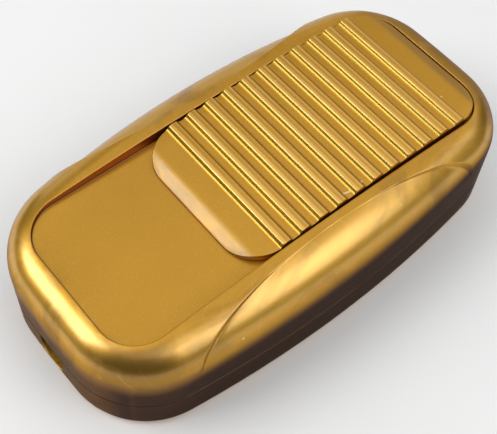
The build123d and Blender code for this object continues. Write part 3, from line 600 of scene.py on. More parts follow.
class Pattern(Tree):
    """A Geometry Nodes tree that sets a piece out on points, with its inputs by name."""

    def __init__(self, name, kinds):
        super().__init__(bpy.data.node_groups.new(name, "GeometryNodeTree"))
        interface = self.tree.interface
        self.ids = {}
        for label, kind in ({"Geometry": "Geometry"} | kinds | {"Material": "Material"}).items():
            socket = interface.new_socket(label, in_out="INPUT", socket_type=f"NodeSocket{kind}")
            self.ids[label] = socket.identifier
        interface.new_socket("Geometry", in_out="OUTPUT", socket_type="NodeSocketGeometry")
        self.source = self.tree.nodes.new("NodeGroupInput")
        self.result = self.tree.nodes.new("NodeGroupOutput")

    def given(self, label):
        """One of the tree's inputs."""
        return Value(self, self.source.outputs[label])

    def repeat(self, points, turn):
        """Sets the piece out on points, makes it real and gives it its material."""
        inputs = {"Points": points, "Instance": self.given("Geometry"), "Rotation": turn}
        copies = self.node("GeometryNodeInstanceOnPoints", None, inputs)
        real = self.node("GeometryNodeRealizeInstances", None, {0: copies})
        inputs = {"Geometry": real, "Material": self.given("Material")}
        self.feed(self.result.inputs[0], self.node("GeometryNodeSetMaterial", None, inputs))
        return self

    def apply(self, piece, values):
        """Runs the tree on a piece and keeps what comes out as its mesh."""
        change = piece.modifiers.new(self.tree.name, "NODES")
        change.node_group = self.tree
        for label, value in values.items():
            change[self.ids[label]] = value
        bake(piece)


def arch_row():
    """Copies side by side over an arch that runs along X."""
    kinds = {"Count": "Int", "Pitch": "Float", "Radius": "Float", "Middle": "Vector"}
    row = Pattern("row on an arch", kinds)
    count = row.given("Count")
    radius = row.given("Radius")
    line = row.node("GeometryNodeMeshLine", None, {"Count": count, "Offset": (0, 0, 0)})
    number = row.node("GeometryNodeInputIndex") - (count - 1.0) * 0.5
    angle = number * row.given("Pitch") / radius
    parts = {"X": angle.math("SINE") * radius, "Z": (angle.math("COSINE") - 1.0) * radius}
    ends = {0: row.node("ShaderNodeCombineXYZ", None, parts), 1: row.given("Middle")}
    place = row.node("ShaderNodeVectorMath", {"operation": "ADD"}, ends)
    points = row.node("GeometryNodeSetPosition", None, {"Geometry": line, "Position": place})
    return row.repeat(points, row.node("ShaderNodeCombineXYZ", None, {"Y": angle}))


def four_places():
    """Copies at the corners of a rectangle, each turned by chance as a driven screw is."""
    kinds = dict.fromkeys(("Reach X", "Reach Y", "Height", "Flip"), "Float") | {"Seed": "Int"}
    field = Pattern("four corners", kinds)
    inputs = {"Size X": field.given("Reach X") * 2.0, "Size Y": field.given("Reach Y") * 2.0}
    corners = field.node("GeometryNodeMeshGrid", None, inputs | {"Vertices X": 2, "Vertices Y": 2})
    lift = field.node("ShaderNodeCombineXYZ", None, {"Z": field.given("Height")})
    points = field.node("GeometryNodeSetPosition", None, {"Geometry": corners, "Offset": lift})
    turn = field.node("FunctionNodeRandomValue", {"data_type": "FLOAT"}, None, 1)
    chance = {"Min": 0.0, "Max": 2 * pi, "Seed": field.given("Seed")}
    for socket in turn.socket.node.inputs:
        if socket.enabled and socket.name in chance:
            field.feed(socket, chance[socket.name])
    turns = {"X": field.given("Flip"), "Z": turn}
    return field.repeat(points, field.node("ShaderNodeCombineXYZ", None, turns))


def track_reach(housing, track):
    """Half the track's length and half its width."""
    return housing.length / 2 - track.from_end, housing.width / 2 - track.from_side


def outer_skin(outline, housing, scallop, track):
    """Rings from the parting line over the scallops' creases and the shoulder to the track's rim."""
    hard = Shoulder(outline, housing.arch, housing.crest, housing.shoulder)
    soft = Shoulder(outline, housing.arch, housing.crest, scallop.shoulder)
    leaf_length = housing.length / 2 - scallop.from_end
    leaf_middle = housing.width / 2 - scallop.from_side + scallop.half_width
    crease = scallop.crease

    def off_leaf(points):
        across = (np.abs(points[:, 1]) - leaf_middle) / scallop.half_width
        return (points[:, 0] / leaf_length) ** 2 + across**2 >= 1

    def over_track(points):
        return rounded_gap(points, *track_reach(housing, track), track.corner)[0] < track.edge

    soft_edge = soft.reach(off_leaf)
    hard_edge = hard.reach(off_leaf)
    rim = hard.reach(over_track)
    level = np.minimum(np.maximum(hard.end, hard_edge + 2 * crease), rim - crease)
    seam = housing.seam_edge
    rings = [outline.ring(seam, housing.parting)]
    rings += curve(rings[0], outline.ring(0, housing.parting), outline.ring(0, housing.parting + seam), 3)
    soft_last = soft_edge - crease
    soft_first = np.minimum(0, soft_last)
    rings += between(rings[-1], soft.at(soft_first), 5)
    rings += soft.run(soft_first, soft_last, 10)
    low = soft.at(soft_edge)
    high = hard.at(hard_edge)
    rings += curve(rings[-1], low, (low + high) / 2, 3)
    rings += curve(rings[-1], high, hard.at(hard_edge + crease), 3)
    return rings + hard.run(hard_edge + crease, level, 16) + hard.run(level, rim, 5)


def sunk_track(rim, housing, track):
    """Rings from the track's rim down its wall and over its floor to the slot, and through that."""
    gap, away = rounded_gap(rim, *track_reach(housing, track), track.corner)
    wall = rim[:, :2] - gap[:, None] * away
    rings = curve(rim, flat(wall, rim[:, 2]), flat(wall, rim[:, 2] - track.edge), 4)
    rings += between(rings[-1], flat(wall, track.floor + track.foot), 3)
    toe = wall - track.foot * away
    rings += curve(rings[-1], flat(wall, track.floor), flat(toe, track.floor), 4)
    slot_corner = np.array((track.slot_length / 2, track.slot_width / 2))
    slot = np.clip(toe, -slot_corner, slot_corner)
    rings += between(rings[-1], flat(slot, track.floor), 3)
    return [*rings, flat(slot, track.floor - track.thickness)]


def inner_skin(slot, outline, housing, track):
    """Rings from the slot under the track's floor and down the inside of the shoulder to the rebate."""
    skin = housing.wall
    inside = Shoulder(outline.inset(skin), housing.arch - skin, housing.crest - skin, housing.hollow)
    ceiling = track.floor - track.thickness
    half_length, half_width = (reach + track.wall for reach in track_reach(housing, track))

    def in_track_wall(points):
        gaps = rounded_gap(points, half_length, half_width, track.corner + track.wall)[0]
        return (gaps < 0) & (points[:, 2] > ceiling)

    meet = inside.reach(in_track_wall)
    rings = between(slot, flat(inside.at(meet), ceiling), 3)
    rings += [inside.at(meet * part) for part in np.linspace(1, 0, 11)]
    rebate_top = housing.parting + housing.tongue + housing.tongue_gap
    rings += between(rings[-1], outline.ring(skin, rebate_top), 2)
    return rings + [outline.ring(housing.rebate, height) for height in (rebate_top, housing.parting)]


def upper_shell(housing, scallop, track):
    """Top shell: rolled shoulders, a creased scallop in each flank and the sunk track with its slot."""
    outline = housing_outline(housing)
    rings = outer_skin(outline, housing, scallop, track)
    rings += sunk_track(rings[-1], housing, track)
    rings += inner_skin(rings[-1], outline, housing, track)
    return Form().rings(rings, closed=True)


def boss(form, place, bore, low, high, outer):
    """A round post from one height to another, with a blind bore for a screw from its low end."""
    radius, depth = bore
    profile = [(0, depth), (radius, depth), (radius, low), (outer, low), (outer, high), (0, high)]
    form.turned(profile, *place)


def base_shell(housing):
    """Bottom shell: rounded underside, upright walls and the tongue round their top."""
    outline = housing_outline(housing)
    bottom = housing.bottom_edge
    seam = housing.seam_edge
    rings = []
    for turn in np.linspace(0, pi / 2, EDGE_STEPS):
        rings.append(outline.ring(bottom * (1 - sin(turn)), bottom * (1 - cos(turn))))
    rings += between(rings[-1], outline.ring(0, housing.parting - seam), 4)
    rings += curve(rings[-1], outline.ring(0, housing.parting), outline.ring(seam, housing.parting), 3)
    tongue = housing.rebate + housing.tongue_gap
    top = housing.parting + housing.tongue
    steps = ((tongue, housing.parting), (tongue, top), (housing.wall, top), (housing.wall, housing.floor))
    rings += [outline.ring(inset, height) for inset, height in steps]
    return Form().rings(rings)


def slider_top(sizes, x):
    """Height of the slider's valleys over a place along it, with the softened bevels at its ends."""
    arch = sizes.crest - sizes.arch + np.sqrt(sizes.arch**2 - x**2)
    past = abs(x) - (sizes.length / 2 - sizes.bevel)
    bend = np.clip(past + sizes.ridge, 0, 2 * sizes.ridge) ** 2 / (4 * sizes.ridge)
    return arch - max(bend, past) * sizes.bevel_drop / sizes.bevel


def slider_plate(sizes):
    """The slider without its ribs: arched top, softened edges and an upright skirt."""
    half_length = sizes.length / 2
    half_width = sizes.width / 2
    edge = sizes.edge
    straight = half_length - sizes.corner
    ridge = half_length - sizes.bevel
    on_flat = np.linspace(0, straight, PLATE_STEPS)
    on_corner = straight + (sizes.corner - edge) * np.sin(np.linspace(0, pi / 2, BEND_STEPS))
    on_ridge = ridge + sizes.ridge * np.linspace(-1, 1, RIDGE_STEPS)
    x = np.unique((*on_flat, *on_corner, *on_ridge))
    x = np.concatenate((-x[:0:-1], x))
    past = np.maximum(np.abs(x) - straight, 0)
    y = half_width - sizes.corner + np.sqrt(np.maximum((sizes.corner - edge) ** 2 - past**2, 0))
    across = np.linspace(-1, 1, ACROSS_STEPS)
    rows = []
    for at, reach in zip(x, y):
        plan = np.column_stack((np.full(ACROSS_STEPS, at), across * reach))
        rows.append(flat(plan, slider_top(sizes, at)))
    middle = np.array((sizes.middle, 0, 0))
    form = Form().rings([row + middle for row in rows], caps=(False, False), round_about=False)

    near_side = [row[0] for row in rows[:-1]]
    far_side = [row[-1] for row in rows[:0:-1]]
    loop = np.concatenate((near_side, rows[-1][:-1], far_side, rows[0][:0:-1]))
    away = rounded_gap(loop, half_length, half_width, sizes.corner)[1]
    outer = loop[:, :2] + edge * away
    top = loop[:, 2]
    under = sizes.underside
    rings = [loop]
    rings += curve(loop, flat(outer, top), flat(outer, top - edge), 4)
    rings += between(rings[-1], flat(outer, under + edge), 3)
    rings += curve(rings[-1], flat(outer, under), flat(loop, under), 2)
    return form.rings([ring + middle for ring in rings], caps=(False, True))


def slider_hollow(sizes, low_y, high_y):
    """A space under the slider's skin between two of its lengthwise walls."""
    reach = sizes.length / 2 - sizes.end_block
    roof_radius = sizes.arch - sizes.skin
    below = sizes.underside - sizes.skin
    rings = []
    for x in np.linspace(-reach, reach, HOLLOW_STEPS):
        roof = sizes.crest - sizes.arch + np.sqrt(roof_radius**2 - x**2)
        rings.append(slice_at(sizes.middle + x, block(low_y, high_y, below, roof)))
    return Form().rings(rings)


def slider_rib(sizes):
    """One rib with rounded upper edges, flared feet and rounded ends."""
    height = sizes.rib_height
    slope = np.arctan2(height, sizes.rib_draft)
    bend = sizes.rib_round
    foot = sizes.rib_foot
    top = sizes.rib_width / 2 - bend * np.tan(slope / 2)
    base = sizes.rib_width / 2 + sizes.rib_draft + foot * np.tan(slope / 2)
    sunk = 0.005 * MM
    side = [(base, -sizes.rib_root)]
    for turn in np.linspace(0, slope, RIB_STEPS):
        side.append((base - foot * sin(turn), foot * (1 - cos(turn)) - sunk))
    for turn in np.linspace(slope, 0, RIB_STEPS):
        side.append((top + bend * sin(turn), height - sizes.rib_crown - bend * (1 - cos(turn))))
    for x in np.linspace(top, 0, 5)[1:-1]:
        side.append((x, height - sizes.rib_crown * (x / top) ** 2))
    section = np.array([*side, (0, height), *[(-x, z) for x, z in side[::-1]]])
    reach = sizes.width / 2 - 0.01 * MM
    edge = sizes.edge
    ends = [(reach - edge + edge * sin(turn), edge * (1 - cos(turn))) for turn in np.linspace(0, pi / 2, 5)]
    rings = []
    for y, drop in [(-y, drop) for y, drop in ends[::-1]] + ends:
        height_left = np.where(section[:, 1] > 0, section[:, 1] * (1 - drop / height), section[:, 1])
        rings.append(np.column_stack((section[:, 0], np.full(len(section), y), height_left)))
    return Form().rings(rings)


def threaded_screw(name, radius, length, head, tall, pitch):
    """A screw that points down from its seat at height 0: domed head, cross recess, thread and point."""
    turn = compass(0, 2 * pi, SCREW_STEPS)
    winding = np.arange(SCREW_STEPS) / SCREW_STEPS
    core = 0.74 * radius
    tip = 1.6 * radius
    blunt = 0.08
    steepness = 3.4
    slices_a_turn = 6
    dome = np.linspace(0.25, 0.98, 6)
    rings = []
    for height in np.arange(-length, 0, pitch / slices_a_turn):
        phase = (height / pitch - winding) % 1.0
        ridge = np.clip(1 - np.abs(phase - 0.5) * steepness, 0, 1)
        taper = min(1.0, (height + length) / tip + blunt)
        reach = (core + (radius - core) * ridge) * taper
        rings.append(flat(reach[:, None] * turn, height))
    rings += [flat(core * turn, 0), flat(head * turn, 0)]
    for rise in dome:
        rings.append(flat(head * (1 - rise**3) ** 0.5 * turn, tall * rise))
    screw = Form().rings(rings).piece(name)
    arm = 0.17 * head
    reach = 0.56 * head
    deep = 0.35 * tall
    over = 1.1 * tall
    square = np.array([(-1, -1), (1, -1), (1, 1), (-1, 1)])
    narrowing = (0.55, 0.7)
    for arms in ((reach, arm), (arm, reach)):
        ends = [flat(square * arms * narrowing, deep), flat(square * arms, over)]
        cut(screw, Form().rings(ends).piece("recess"))
    return smooth(screw, SCREW_SHARP)


class Recipe(Tree):
    """A node material under construction."""

    def __init__(self, name):
        self.material = bpy.data.materials.new(name)
        self.material.use_nodes = True
        super().__init__(self.material.node_tree)
        self.tree.nodes.clear()
        self.skin = self.tree.nodes.new("ShaderNodeBsdfPrincipled")
        output = self.tree.nodes.new("ShaderNodeOutputMaterial")
        self.tree.links.new(self.skin.outputs[0], output.inputs["Surface"])
        self.place = self.node("ShaderNodeTexCoord", output="Object")
        self.x, self.y, self.z = self.parts(self.place)

    def parts(self, vector):
        """A vector's three parts."""
        return [self.node("ShaderNodeSeparateXYZ", None, {0: vector}, letter) for letter in "XYZ"]

    def facing(self):
        """The three parts of the direction that the surface faces."""
        return self.parts(self.node("ShaderNodeTexCoord", output="Normal"))

    def step(self, value, low, high):
        """0 below low, 1 above high, smooth between. High under low turns it round."""
        inputs = {"Value": value, "From Min": low, "From Max": high}
        return self.node("ShaderNodeMapRange", {"interpolation_type": "SMOOTHSTEP"}, inputs)

    def zone(self, value, low, high):
        """A step between two lengths in millimetres."""
        return self.step(value, low * MM, high * MM)

    def noise(self, scale, detail, stretch=(1, 1, 1), warp=0.0):
        """Noise from 0 to 1, with scale in lumps per metre."""
        place = self.node("ShaderNodeMapping", None, {"Vector": self.place, "Scale": stretch})
        inputs = {"Vector": place, "Scale": scale, "Detail": detail, "Distortion": warp}
        return self.node("ShaderNodeTexNoise", None, inputs)

    def blend(self, factor, first, second):
        """Mixes two colours."""
        return self.node("ShaderNodeMix", {"data_type": "RGBA"}, {0: factor, 6: first, 7: second}, 2)

    def paint(self, tint, *layers):
        """Lays colours over a tint in turn, each with its strength before it."""
        for strength, over in layers:
            tint = self.blend(strength, tint, over)
        return tint

    def shaded(self, tint, factor):
        """Darkens a colour by a value from 0 to 1."""
        settings = {"data_type": "RGBA", "blend_type": "MULTIPLY"}
        grey = self.node("ShaderNodeCombineColor", None, {0: factor, 1: factor, 2: factor})
        return self.node("ShaderNodeMix", settings, {0: 1.0, 6: tint, 7: grey}, 2)

    def rounded(self, half_length, half_width, corner):
        """Distance outside a rounded rectangle seen from above, in metres."""
        x = self.x.size() - (half_length - corner)
        y = self.y.size() - (half_width - corner)
        outer_x = x.most(0.0)
        outer_y = y.most(0.0)
        return (outer_x * outer_x + outer_y * outer_y) ** 0.5 + x.most(y).least(0.0) - corner

    def away(self, place):
        """Distance in metres from a place that is given in millimetres."""
        ends = {0: self.place, 1: Vector(place) * MM}
        return self.node("ShaderNodeVectorMath", {"operation": "DISTANCE"}, ends, "Value")

    def specks(self, places, radius):
        """1 on small round marks round some places, with the radius in millimetres too."""
        marks = [self.zone(self.away(place), radius, radius / 2) for place in places]
        found = marks[0]
        for mark in marks[1:]:
            found = found.most(mark)
        return found

    def bump(self, height, distance, strength):
        """A normal from a height of 0 to 1 that stands for that distance in millimetres."""
        inputs = {"Height": height, "Distance": distance * MM, "Strength": strength}
        return self.node("ShaderNodeBump", None, inputs)

    def finish(self, **sockets):
        """Sets the shader's sockets; an underscore in a name stands for a space."""
        for name, value in sockets.items():
            self.feed(self.skin.inputs[name.replace("_", " ")], value)
        return self.material


# Dust specks and small nicks, and the brown patch at a corner, in millimetres
SHELL_SPECKS = (
    (16.0, -25.7, 25.3),
    (-54.5, -16.4, 19.8),
    (-50.7, -20.6, 21.9),
    (3.3, -29.5, 18.6),
    (-0.6, -29.6, 18.0),
    (-28.1, -27.5, 21.1),
    (-47.3, -24.3, 6.5),
    (-46.4, -24.8, 3.2),
)
SLIDER_SPECKS = (
    (42.3, -11.2, 27.0),
    (11.8, -17.4, 28.0),
    (6.9, -17.28, 27.9),
    (7.3, -17.4, 27.9),
    (7.7, -17.52, 27.9),
    (8.1, -17.64, 27.9),
)
SPECK_RADIUS = 0.28
BROWN_CORNER = (-49.5, -20.5, 22.5)
# Where the shells' looks change along X, Y or Z, from the first to the last millimetre of each change;
# FAR_END, CORD_END and LOW_WALL bound painted shade
FLANKS = (18, 22)
ENDS = (46, 52)
FAR_END = (44, 54)
CORD_END = (-52, -56)
LOW_WALL = (23.5, 16.5)


def gold(name, finish, places):
    """Satin pearl gold plastic: flakes, fine skin texture and dust specks."""
    recipe = Recipe(name)
    flake = recipe.noise(5200, 2)
    glint = recipe.step(recipe.noise(3600, 1), 0.62, 0.72)
    tint = recipe.shaded(finish.pearl, recipe.noise(95, 3) * 0.12 + flake * 0.2 + 0.84)
    cells = {"Vector": recipe.place, "Scale": 190.0}
    speck = recipe.step(recipe.node("ShaderNodeTexVoronoi", None, cells, "Distance"), 0.045, 0.03)
    speck = speck * recipe.step(recipe.noise(60, 0), 0.6, 0.66)
    speck = speck.most(recipe.specks(places, SPECK_RADIUS))
    recipe.tint = recipe.paint(tint, (glint * 0.16, finish.glint), (speck, finish.dust))
    recipe.rough = recipe.noise(160, 2) * 0.08 + (finish.gloss - 0.04)
    recipe.relief = recipe.noise(2600, 2) * 0.6 + flake * 0.4 + speck * 2
    recipe.coat = finish.coat
    return recipe


def gold_end(recipe, finish):
    """Wires a gold recipe's colour, roughness, clear skin and skin texture to its shader."""
    return recipe.finish(
        Base_Color=recipe.tint,
        Metallic=finish.metallic,
        Roughness=recipe.rough,
        Normal=recipe.bump(recipe.relief, 0.006, 0.5),
        Coat_Weight=recipe.coat,
        Coat_Roughness=0.18,
        Coat_IOR=1.7,
        Specular_Tint=(0.3, 0.24, 0.18, 1),
    )


def gold_shell(scene):
    """The shells' gold: swirls and a painted highlight on the shoulders, a dark parting line, and painted
    shade on the walls, the far end and round the track.
    """
    housing = scene.dimmer_housing
    track = scene.dimmer_track
    finish = scene.dimmer_gold
    recipe = gold("gold_shell_finish", finish, SHELL_SPECKS)
    x, y, z = recipe.x, recipe.y, recipe.z
    up = recipe.facing()[2]
    gap = recipe.rounded(*track_reach(housing, track), track.corner)
    over_floor = z - track.floor

    flanks = recipe.zone(y.size(), *FLANKS)
    ends = recipe.zone(x.size(), *ENDS)
    outside = flanks.most(ends)
    # Painted shade: the housing's far end is darkened towards brown, and the painted highlight and painted
    # gap shade stay off it
    far_end = recipe.zone(x, *FAR_END)
    # Painted highlight: shoulders that face partly upwards, outside the track, take a paler gold and more
    # clear skin, none at the far end
    rolled = recipe.step(up, 0.3, 0.62) * recipe.step(up, 0.985, 0.93) * outside
    swirl = recipe.step(recipe.noise(40, 4, (0.7, 1.5, 1.1), 2.4), 0.46, 0.7) * outside
    streaks = recipe.noise(130, 4, (1, 1, 0.5), 1.6) * 9 * MM
    brown = recipe.zone(recipe.away(BROWN_CORNER) + streaks, 17, 8) * recipe.zone(gap, 0.2, 1.5)
    waves = {"Vector": recipe.place, "Scale": 42.0, "Distortion": 14.0, "Detail": 3.0, "Detail Scale": 1.6}
    wave = recipe.node("ShaderNodeTexWave", None, waves, "Fac")
    lines = recipe.step(wave, 0.88, 1.0) * ends.most(flanks * 0.4)
    # Painted shade: upright outer walls are darkened below a height that rises towards +X, less at the cord
    # end
    cord_end = recipe.zone(x, *CORD_END) * 0.28
    low_wall = recipe.zone(z - x * 0.05, *LOW_WALL)
    walls = recipe.step(up.size(), 0.62, 0.12) * outside * low_wall * (1 - cord_end)
    seam = recipe.zone((z - finish.seam_height).size(), 0.5, 0.12)
    inside = recipe.zone(over_floor, -0.2, -0.02)
    # Painted shade: the corner where the track's wall meets its floor is darkened, and made rougher
    grime_and_shade = recipe.zone(gap.size(), 0.4, 0.05) * recipe.zone(over_floor, 0.6, 0.1) * inside
    # Painted shade on the track's wall above its floor, none at the far end
    track_wall_shade = recipe.zone(gap.size(), 0.12, 0.03) * inside

    recipe.tint = recipe.paint(
        recipe.tint,
        (rolled * (1 - far_end) * 0.7, finish.sheen),
        (far_end * 0.85, finish.shade),
        (swirl * (ends * 0.3 + 0.55), finish.shade),
        (brown * 0.85, finish.shade),
        (lines * 0.1, finish.glint),
        (walls * 0.97, finish.wall),
        (seam * 0.8, finish.seam),
        (grime_and_shade * 0.84, finish.seam),
        (track_wall_shade * (1 - far_end) * 0.84, finish.gap),
    )
    recipe.rough = recipe.rough + swirl * 0.06 + grime_and_shade * 0.2
    recipe.coat = (rolled * (1 - far_end) * (finish.polish - finish.coat) + finish.coat) * (1 - walls * 0.7)
    return gold_end(recipe, finish)


def gold_slider(scene):
    """The slider's gold: a pale scuffed bevel where the foot lands, scuffed rib tops, a painted highlight
    on the ribs' edges, and painted shade on their flanks, the slider's sides and its far bevel.
    """
    sizes = scene.dimmer_slider
    finish = scene.dimmer_gold
    recipe = gold("gold_slider_finish", finish, SLIDER_SPECKS)
    along = recipe.x - sizes.middle
    away = along.size()
    lean = recipe.facing()[0].size()
    arch = (sizes.arch**2 - away * away) ** 0.5
    half_up = sizes.crest + 0.55 * MM
    over_half = recipe.z - (half_up - sizes.arch) - arch

    bevel = recipe.zone(away - (sizes.length / 2 - sizes.bevel), -0.7, 1.1)
    near = recipe.zone(along, 0, -5)
    # Painted shade: the slider's far bevel takes a browner tone
    far_bevel_shade = bevel * (1 - near)
    streak = recipe.step(recipe.noise(260, 5, (1, 0.35, 1), 0.8), 0.36, 0.62)
    grain = recipe.step(recipe.noise(1500, 2, (1, 0.5, 1)), 0.4, 0.62)
    worn = bevel * near * (streak * 0.35 + grain * 0.25 + 0.4)
    top = recipe.zone(over_half, 0, 0.3)
    scuff = recipe.step(recipe.noise(500, 3, (1, 0.2, 1)), 0.42, 0.7) * top
    # Painted highlight: the ribs' rounded edges, where they lean a little, take a paler gold and more clear
    # skin, and their tops a little of it
    edge = recipe.step(lean, 0.05, 0.18) * top
    # Painted shade on the ribs' steep flanks
    flank = recipe.step(lean, 0.42, 0.75) * recipe.zone(over_half, -0.7, -0.45)
    # Painted shade on the slider's side walls below its top, in the gap by the track's wall
    side = recipe.zone(recipe.y.size() - sizes.width / 2, -0.2, -0.03)
    side = side * recipe.zone(over_half, -0.35, -0.7)

    recipe.tint = recipe.paint(
        recipe.tint,
        (far_bevel_shade * 0.35, finish.worn),
        (far_bevel_shade * 0.25, finish.shade),
        (worn, finish.worn),
        (edge * 0.8 + top * 0.1, finish.sheen),
        (flank * 0.85, finish.olive),
        (side * 0.85, finish.gap),
        (scuff * 0.1, finish.worn),
    )
    recipe.rough = recipe.rough + worn * 0.16 + scuff * 0.03 + top * 0.05
    recipe.relief = recipe.relief * (1 - top * 0.8)
    recipe.coat = edge * (finish.polish - finish.coat) + finish.coat
    return gold_end(recipe, finish)


def moulded(name, tint, gloss, grain, depth):
    """Moulded plastic: soft colour clouds, fine grain and dust in its dull spots."""
    recipe = Recipe(name)
    cloud = recipe.noise(120, 4, warp=0.6)
    dust = recipe.step(recipe.noise(420, 5), 0.56, 0.78)
    return recipe.finish(
        Base_Color=recipe.paint(recipe.shaded(tint, cloud * 0.3 + 0.8), (dust * 0.14, (0.5, 0.46, 0.4, 1))),
        Roughness=cloud * 0.12 + dust * 0.15 + (gloss - 0.1),
        Normal=recipe.bump(recipe.noise(grain, 3), depth, 0.35),
    )


def metal(name, tint, gloss, stretch=(1, 1, 1), stain=(0.16, 0.12, 0.08)):
    """Bare or plated metal: drawn or rolled marks, light tarnish and small scratches."""
    recipe = Recipe(name)
    marks = recipe.noise(2400, 3, stretch)
    tarnish = recipe.step(recipe.noise(170, 4, warp=0.8), 0.52, 0.8)
    base = recipe.blend(tarnish * 0.4, tint, (*stain, 1))
    return recipe.finish(
        Base_Color=recipe.shaded(base, marks * 0.2 + 0.86),
        Metallic=1.0,
        Roughness=marks * 0.16 + tarnish * 0.2 + (gloss - 0.1),
        Normal=recipe.bump(marks, 0.01, 0.4),
    )


def board(name, tint):
    """Pressed laminate: woven fibres, brown mottling and dull copper tracks on its underside."""
    recipe = Recipe(name)
    inputs = {"Vector": recipe.place, "Scale": 700.0}
    weave, cross = (recipe.node("ShaderNodeTexWave", {"bands_direction": way}, inputs) for way in "XY")
    cloth = weave * cross
    mottle = recipe.noise(140, 5, warp=1.2)
    cells = {"feature": "DISTANCE_TO_EDGE"}
    gap = recipe.node("ShaderNodeTexVoronoi", cells, {"Vector": recipe.place, "Scale": 95.0}, "Distance")
    track = recipe.step(gap, 0.035, 0.06) * recipe.zone(recipe.z, 5.2, 5.1)
    base = recipe.shaded(tint, cloth * 0.12 + mottle * 0.3 + 0.74)
    return recipe.finish(
        Base_Color=recipe.blend(track * 0.85, base, (0.28, 0.13, 0.045, 1)),
        Roughness=mottle * 0.15 + 0.42,
        Metallic=track * 0.6,
        Normal=recipe.bump(cloth + track, 0.02, 0.4),
    )


def banded(name, tint, bands, places, half_width):
    """Lacquered axial parts with colour bands round them, from each part's place along X and side in Y."""
    recipe = Recipe(name)
    cloud = recipe.noise(500, 3)
    base = recipe.shaded(tint, cloud * 0.24 + 0.82)
    side = recipe.zone(recipe.y, -1, 1)
    for x, upper in places:
        on_side = side if upper else 1 - side
        for offset, band_tint in bands:
            away = (recipe.x - (x + offset) * MM).size()
            band = recipe.zone(away, half_width + 0.06, half_width) * on_side
            base = recipe.blend(band, base, (*band_tint, 1))
    relief = recipe.bump(cloud, 0.02, 0.4)
    return recipe.finish(Base_Color=base, Roughness=cloud * 0.1 + 0.3, Normal=relief)


def coil(name, tint):
    """Enamelled copper wire: amber lacquer that runs and thins along the turns."""
    recipe = Recipe(name)
    run = recipe.noise(380, 4, (1, 1, 0.3), 0.7)
    return recipe.finish(
        Base_Color=recipe.blend(recipe.step(run, 0.35, 0.75), tint, (0.36, 0.085, 0.025, 1)),
        Metallic=0.9,
        Roughness=run * 0.14 + 0.22,
        Coat_Weight=0.6,
        Coat_Roughness=0.12,
        Normal=recipe.bump(run, 0.02, 0.35),
    )


def glass(name, tint):
    """Clear glass with faint drawn streaks and a little dust."""
    recipe = Recipe(name)
    streak = recipe.noise(300, 3, (0.15, 1, 1))
    dust = recipe.step(recipe.noise(900, 4), 0.6, 0.8)
    return recipe.finish(
        Base_Color=recipe.shaded(tint, streak * 0.1 + 0.9),
        Transmission_Weight=0.9,
        IOR=1.5,
        Roughness=dust * 0.25 + streak * 0.04,
        Normal=recipe.bump(streak, 0.01, 0.3),
    )


# Colour bands by their offset along X, and axial parts by their place along X and whether Y is above 0
RESISTOR_BANDS = (
    (-1.9, (0.25, 0.07, 0.015)),
    (-0.9, (0.01, 0.01, 0.01)),
    (0.1, (0.75, 0.3, 0.02)),
    (1.7, (0.55, 0.34, 0.06)),
)
RESISTORS = ((13.6, True), (20.0, False))
DIAC_BANDS = ((0.0, (0.02, 0.03, 0.12)),)
DIACS = ((8.4, False),)
RUST = (0.2, 0.13, 0.08)
BRASS_STAIN = (0.22, 0.12, 0.04)


def inner_finish(slot, look):
    """The finish of one of the record's material slots inside the housing."""
    makers = {
        "steel": (metal, look.steel, 0.34, (1, 1, 3), RUST),
        "nickel": (metal, look.nickel, 0.26),
        "solder": (metal, look.solder, 0.38, (1, 1, 1), (0.12, 0.12, 0.13)),
        "aluminium_sheet": (metal, look.aluminium, 0.36, (0.08, 1, 1), (0.3, 0.3, 0.32)),
        "spring_brass": (metal, look.brass, 0.3, (1, 0.2, 1), BRASS_STAIN),
        "brass_cage": (metal, look.brass, 0.3, (1, 0.2, 1), BRASS_STAIN),
        "copper_wire": (coil, look.copper),
        "board": (board, look.board),
        "clear_glass": (glass, look.glass),
        "resistor_coat": (banded, look.resistor, RESISTOR_BANDS, RESISTORS, 0.28),
        "diac_glass": (banded, look.diac, DIAC_BANDS, DIACS, 0.45),
        "pot_strip": (moulded, look.strip, 0.4, 1500, 0.01),
        "black_plastic": (moulded, look.black, 0.42, 1100, 0.02),
        "ferrite": (moulded, look.ferrite, 0.6, 2600, 0.05),
        "capacitor_box": (moulded, look.capacitor, 0.38, 700, 0.02),
        "white_plastic": (moulded, look.white, 0.48, 800, 0.015),
    }
    maker, *values = makers[slot]
    return maker(f"{slot}_finish", *values)


def dress(piece, material):
    """Gives a piece one material."""
    piece.data.materials.clear()
    piece.data.materials.append(material)


def hand_over(piece, material, slot, body, *nodes):
    """Hands a finished piece over: its finish, its body and the frame's nodes that it stands for."""
    dress(piece, material)
    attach(piece, body)
    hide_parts(*nodes)


def drill(piece, places, low, high, radius):
    """Cuts round holes in a piece between two heights."""
    for x, y in places:
        cut(piece, Form().turned([(radius, low), (radius, high)], x, y).piece("bit"))


def four_corners(x, y):
    """The four places at the same distance from both middle planes."""
    return [(x, y), (-x, y), (-x, -y), (x, -y)]


class DIMMER_OT_upper_shell(bpy.types.Operator):
    """Build the top shell with its scallops, track and bosses"""

    bl_idname = "dimmer.upper_shell"
    bl_label = "Top shell"

    def execute(self, context):
        scene = context.scene
        housing = scene.dimmer_housing
        track = scene.dimmer_track
        fixing = scene.dimmer_fixing
        form = upper_shell(housing, scene.dimmer_scallop, track)
        ceiling = track.floor - track.thickness
        into = ceiling + 0.5 * MM
        bore = (fixing.thread_bore, fixing.thread_top)
        for corner in four_corners(fixing.screw_x, fixing.screw_y):
            boss(form, corner, bore, housing.parting, into, fixing.boss)
        half = fixing.rib_width / 2
        reach = fixing.rib_length / 2
        for middle in (fixing.rib_offset, -fixing.rib_offset):
            section = block(middle - half, middle + half, ceiling - fixing.rib_depth, into)
            form.prism(section, -reach, reach)
        piece = smooth(form.piece("top_shell"))
        hand_over(piece, gold_shell(scene), "gold_shell", "housing", "upper_shell")
        return {"FINISHED"}


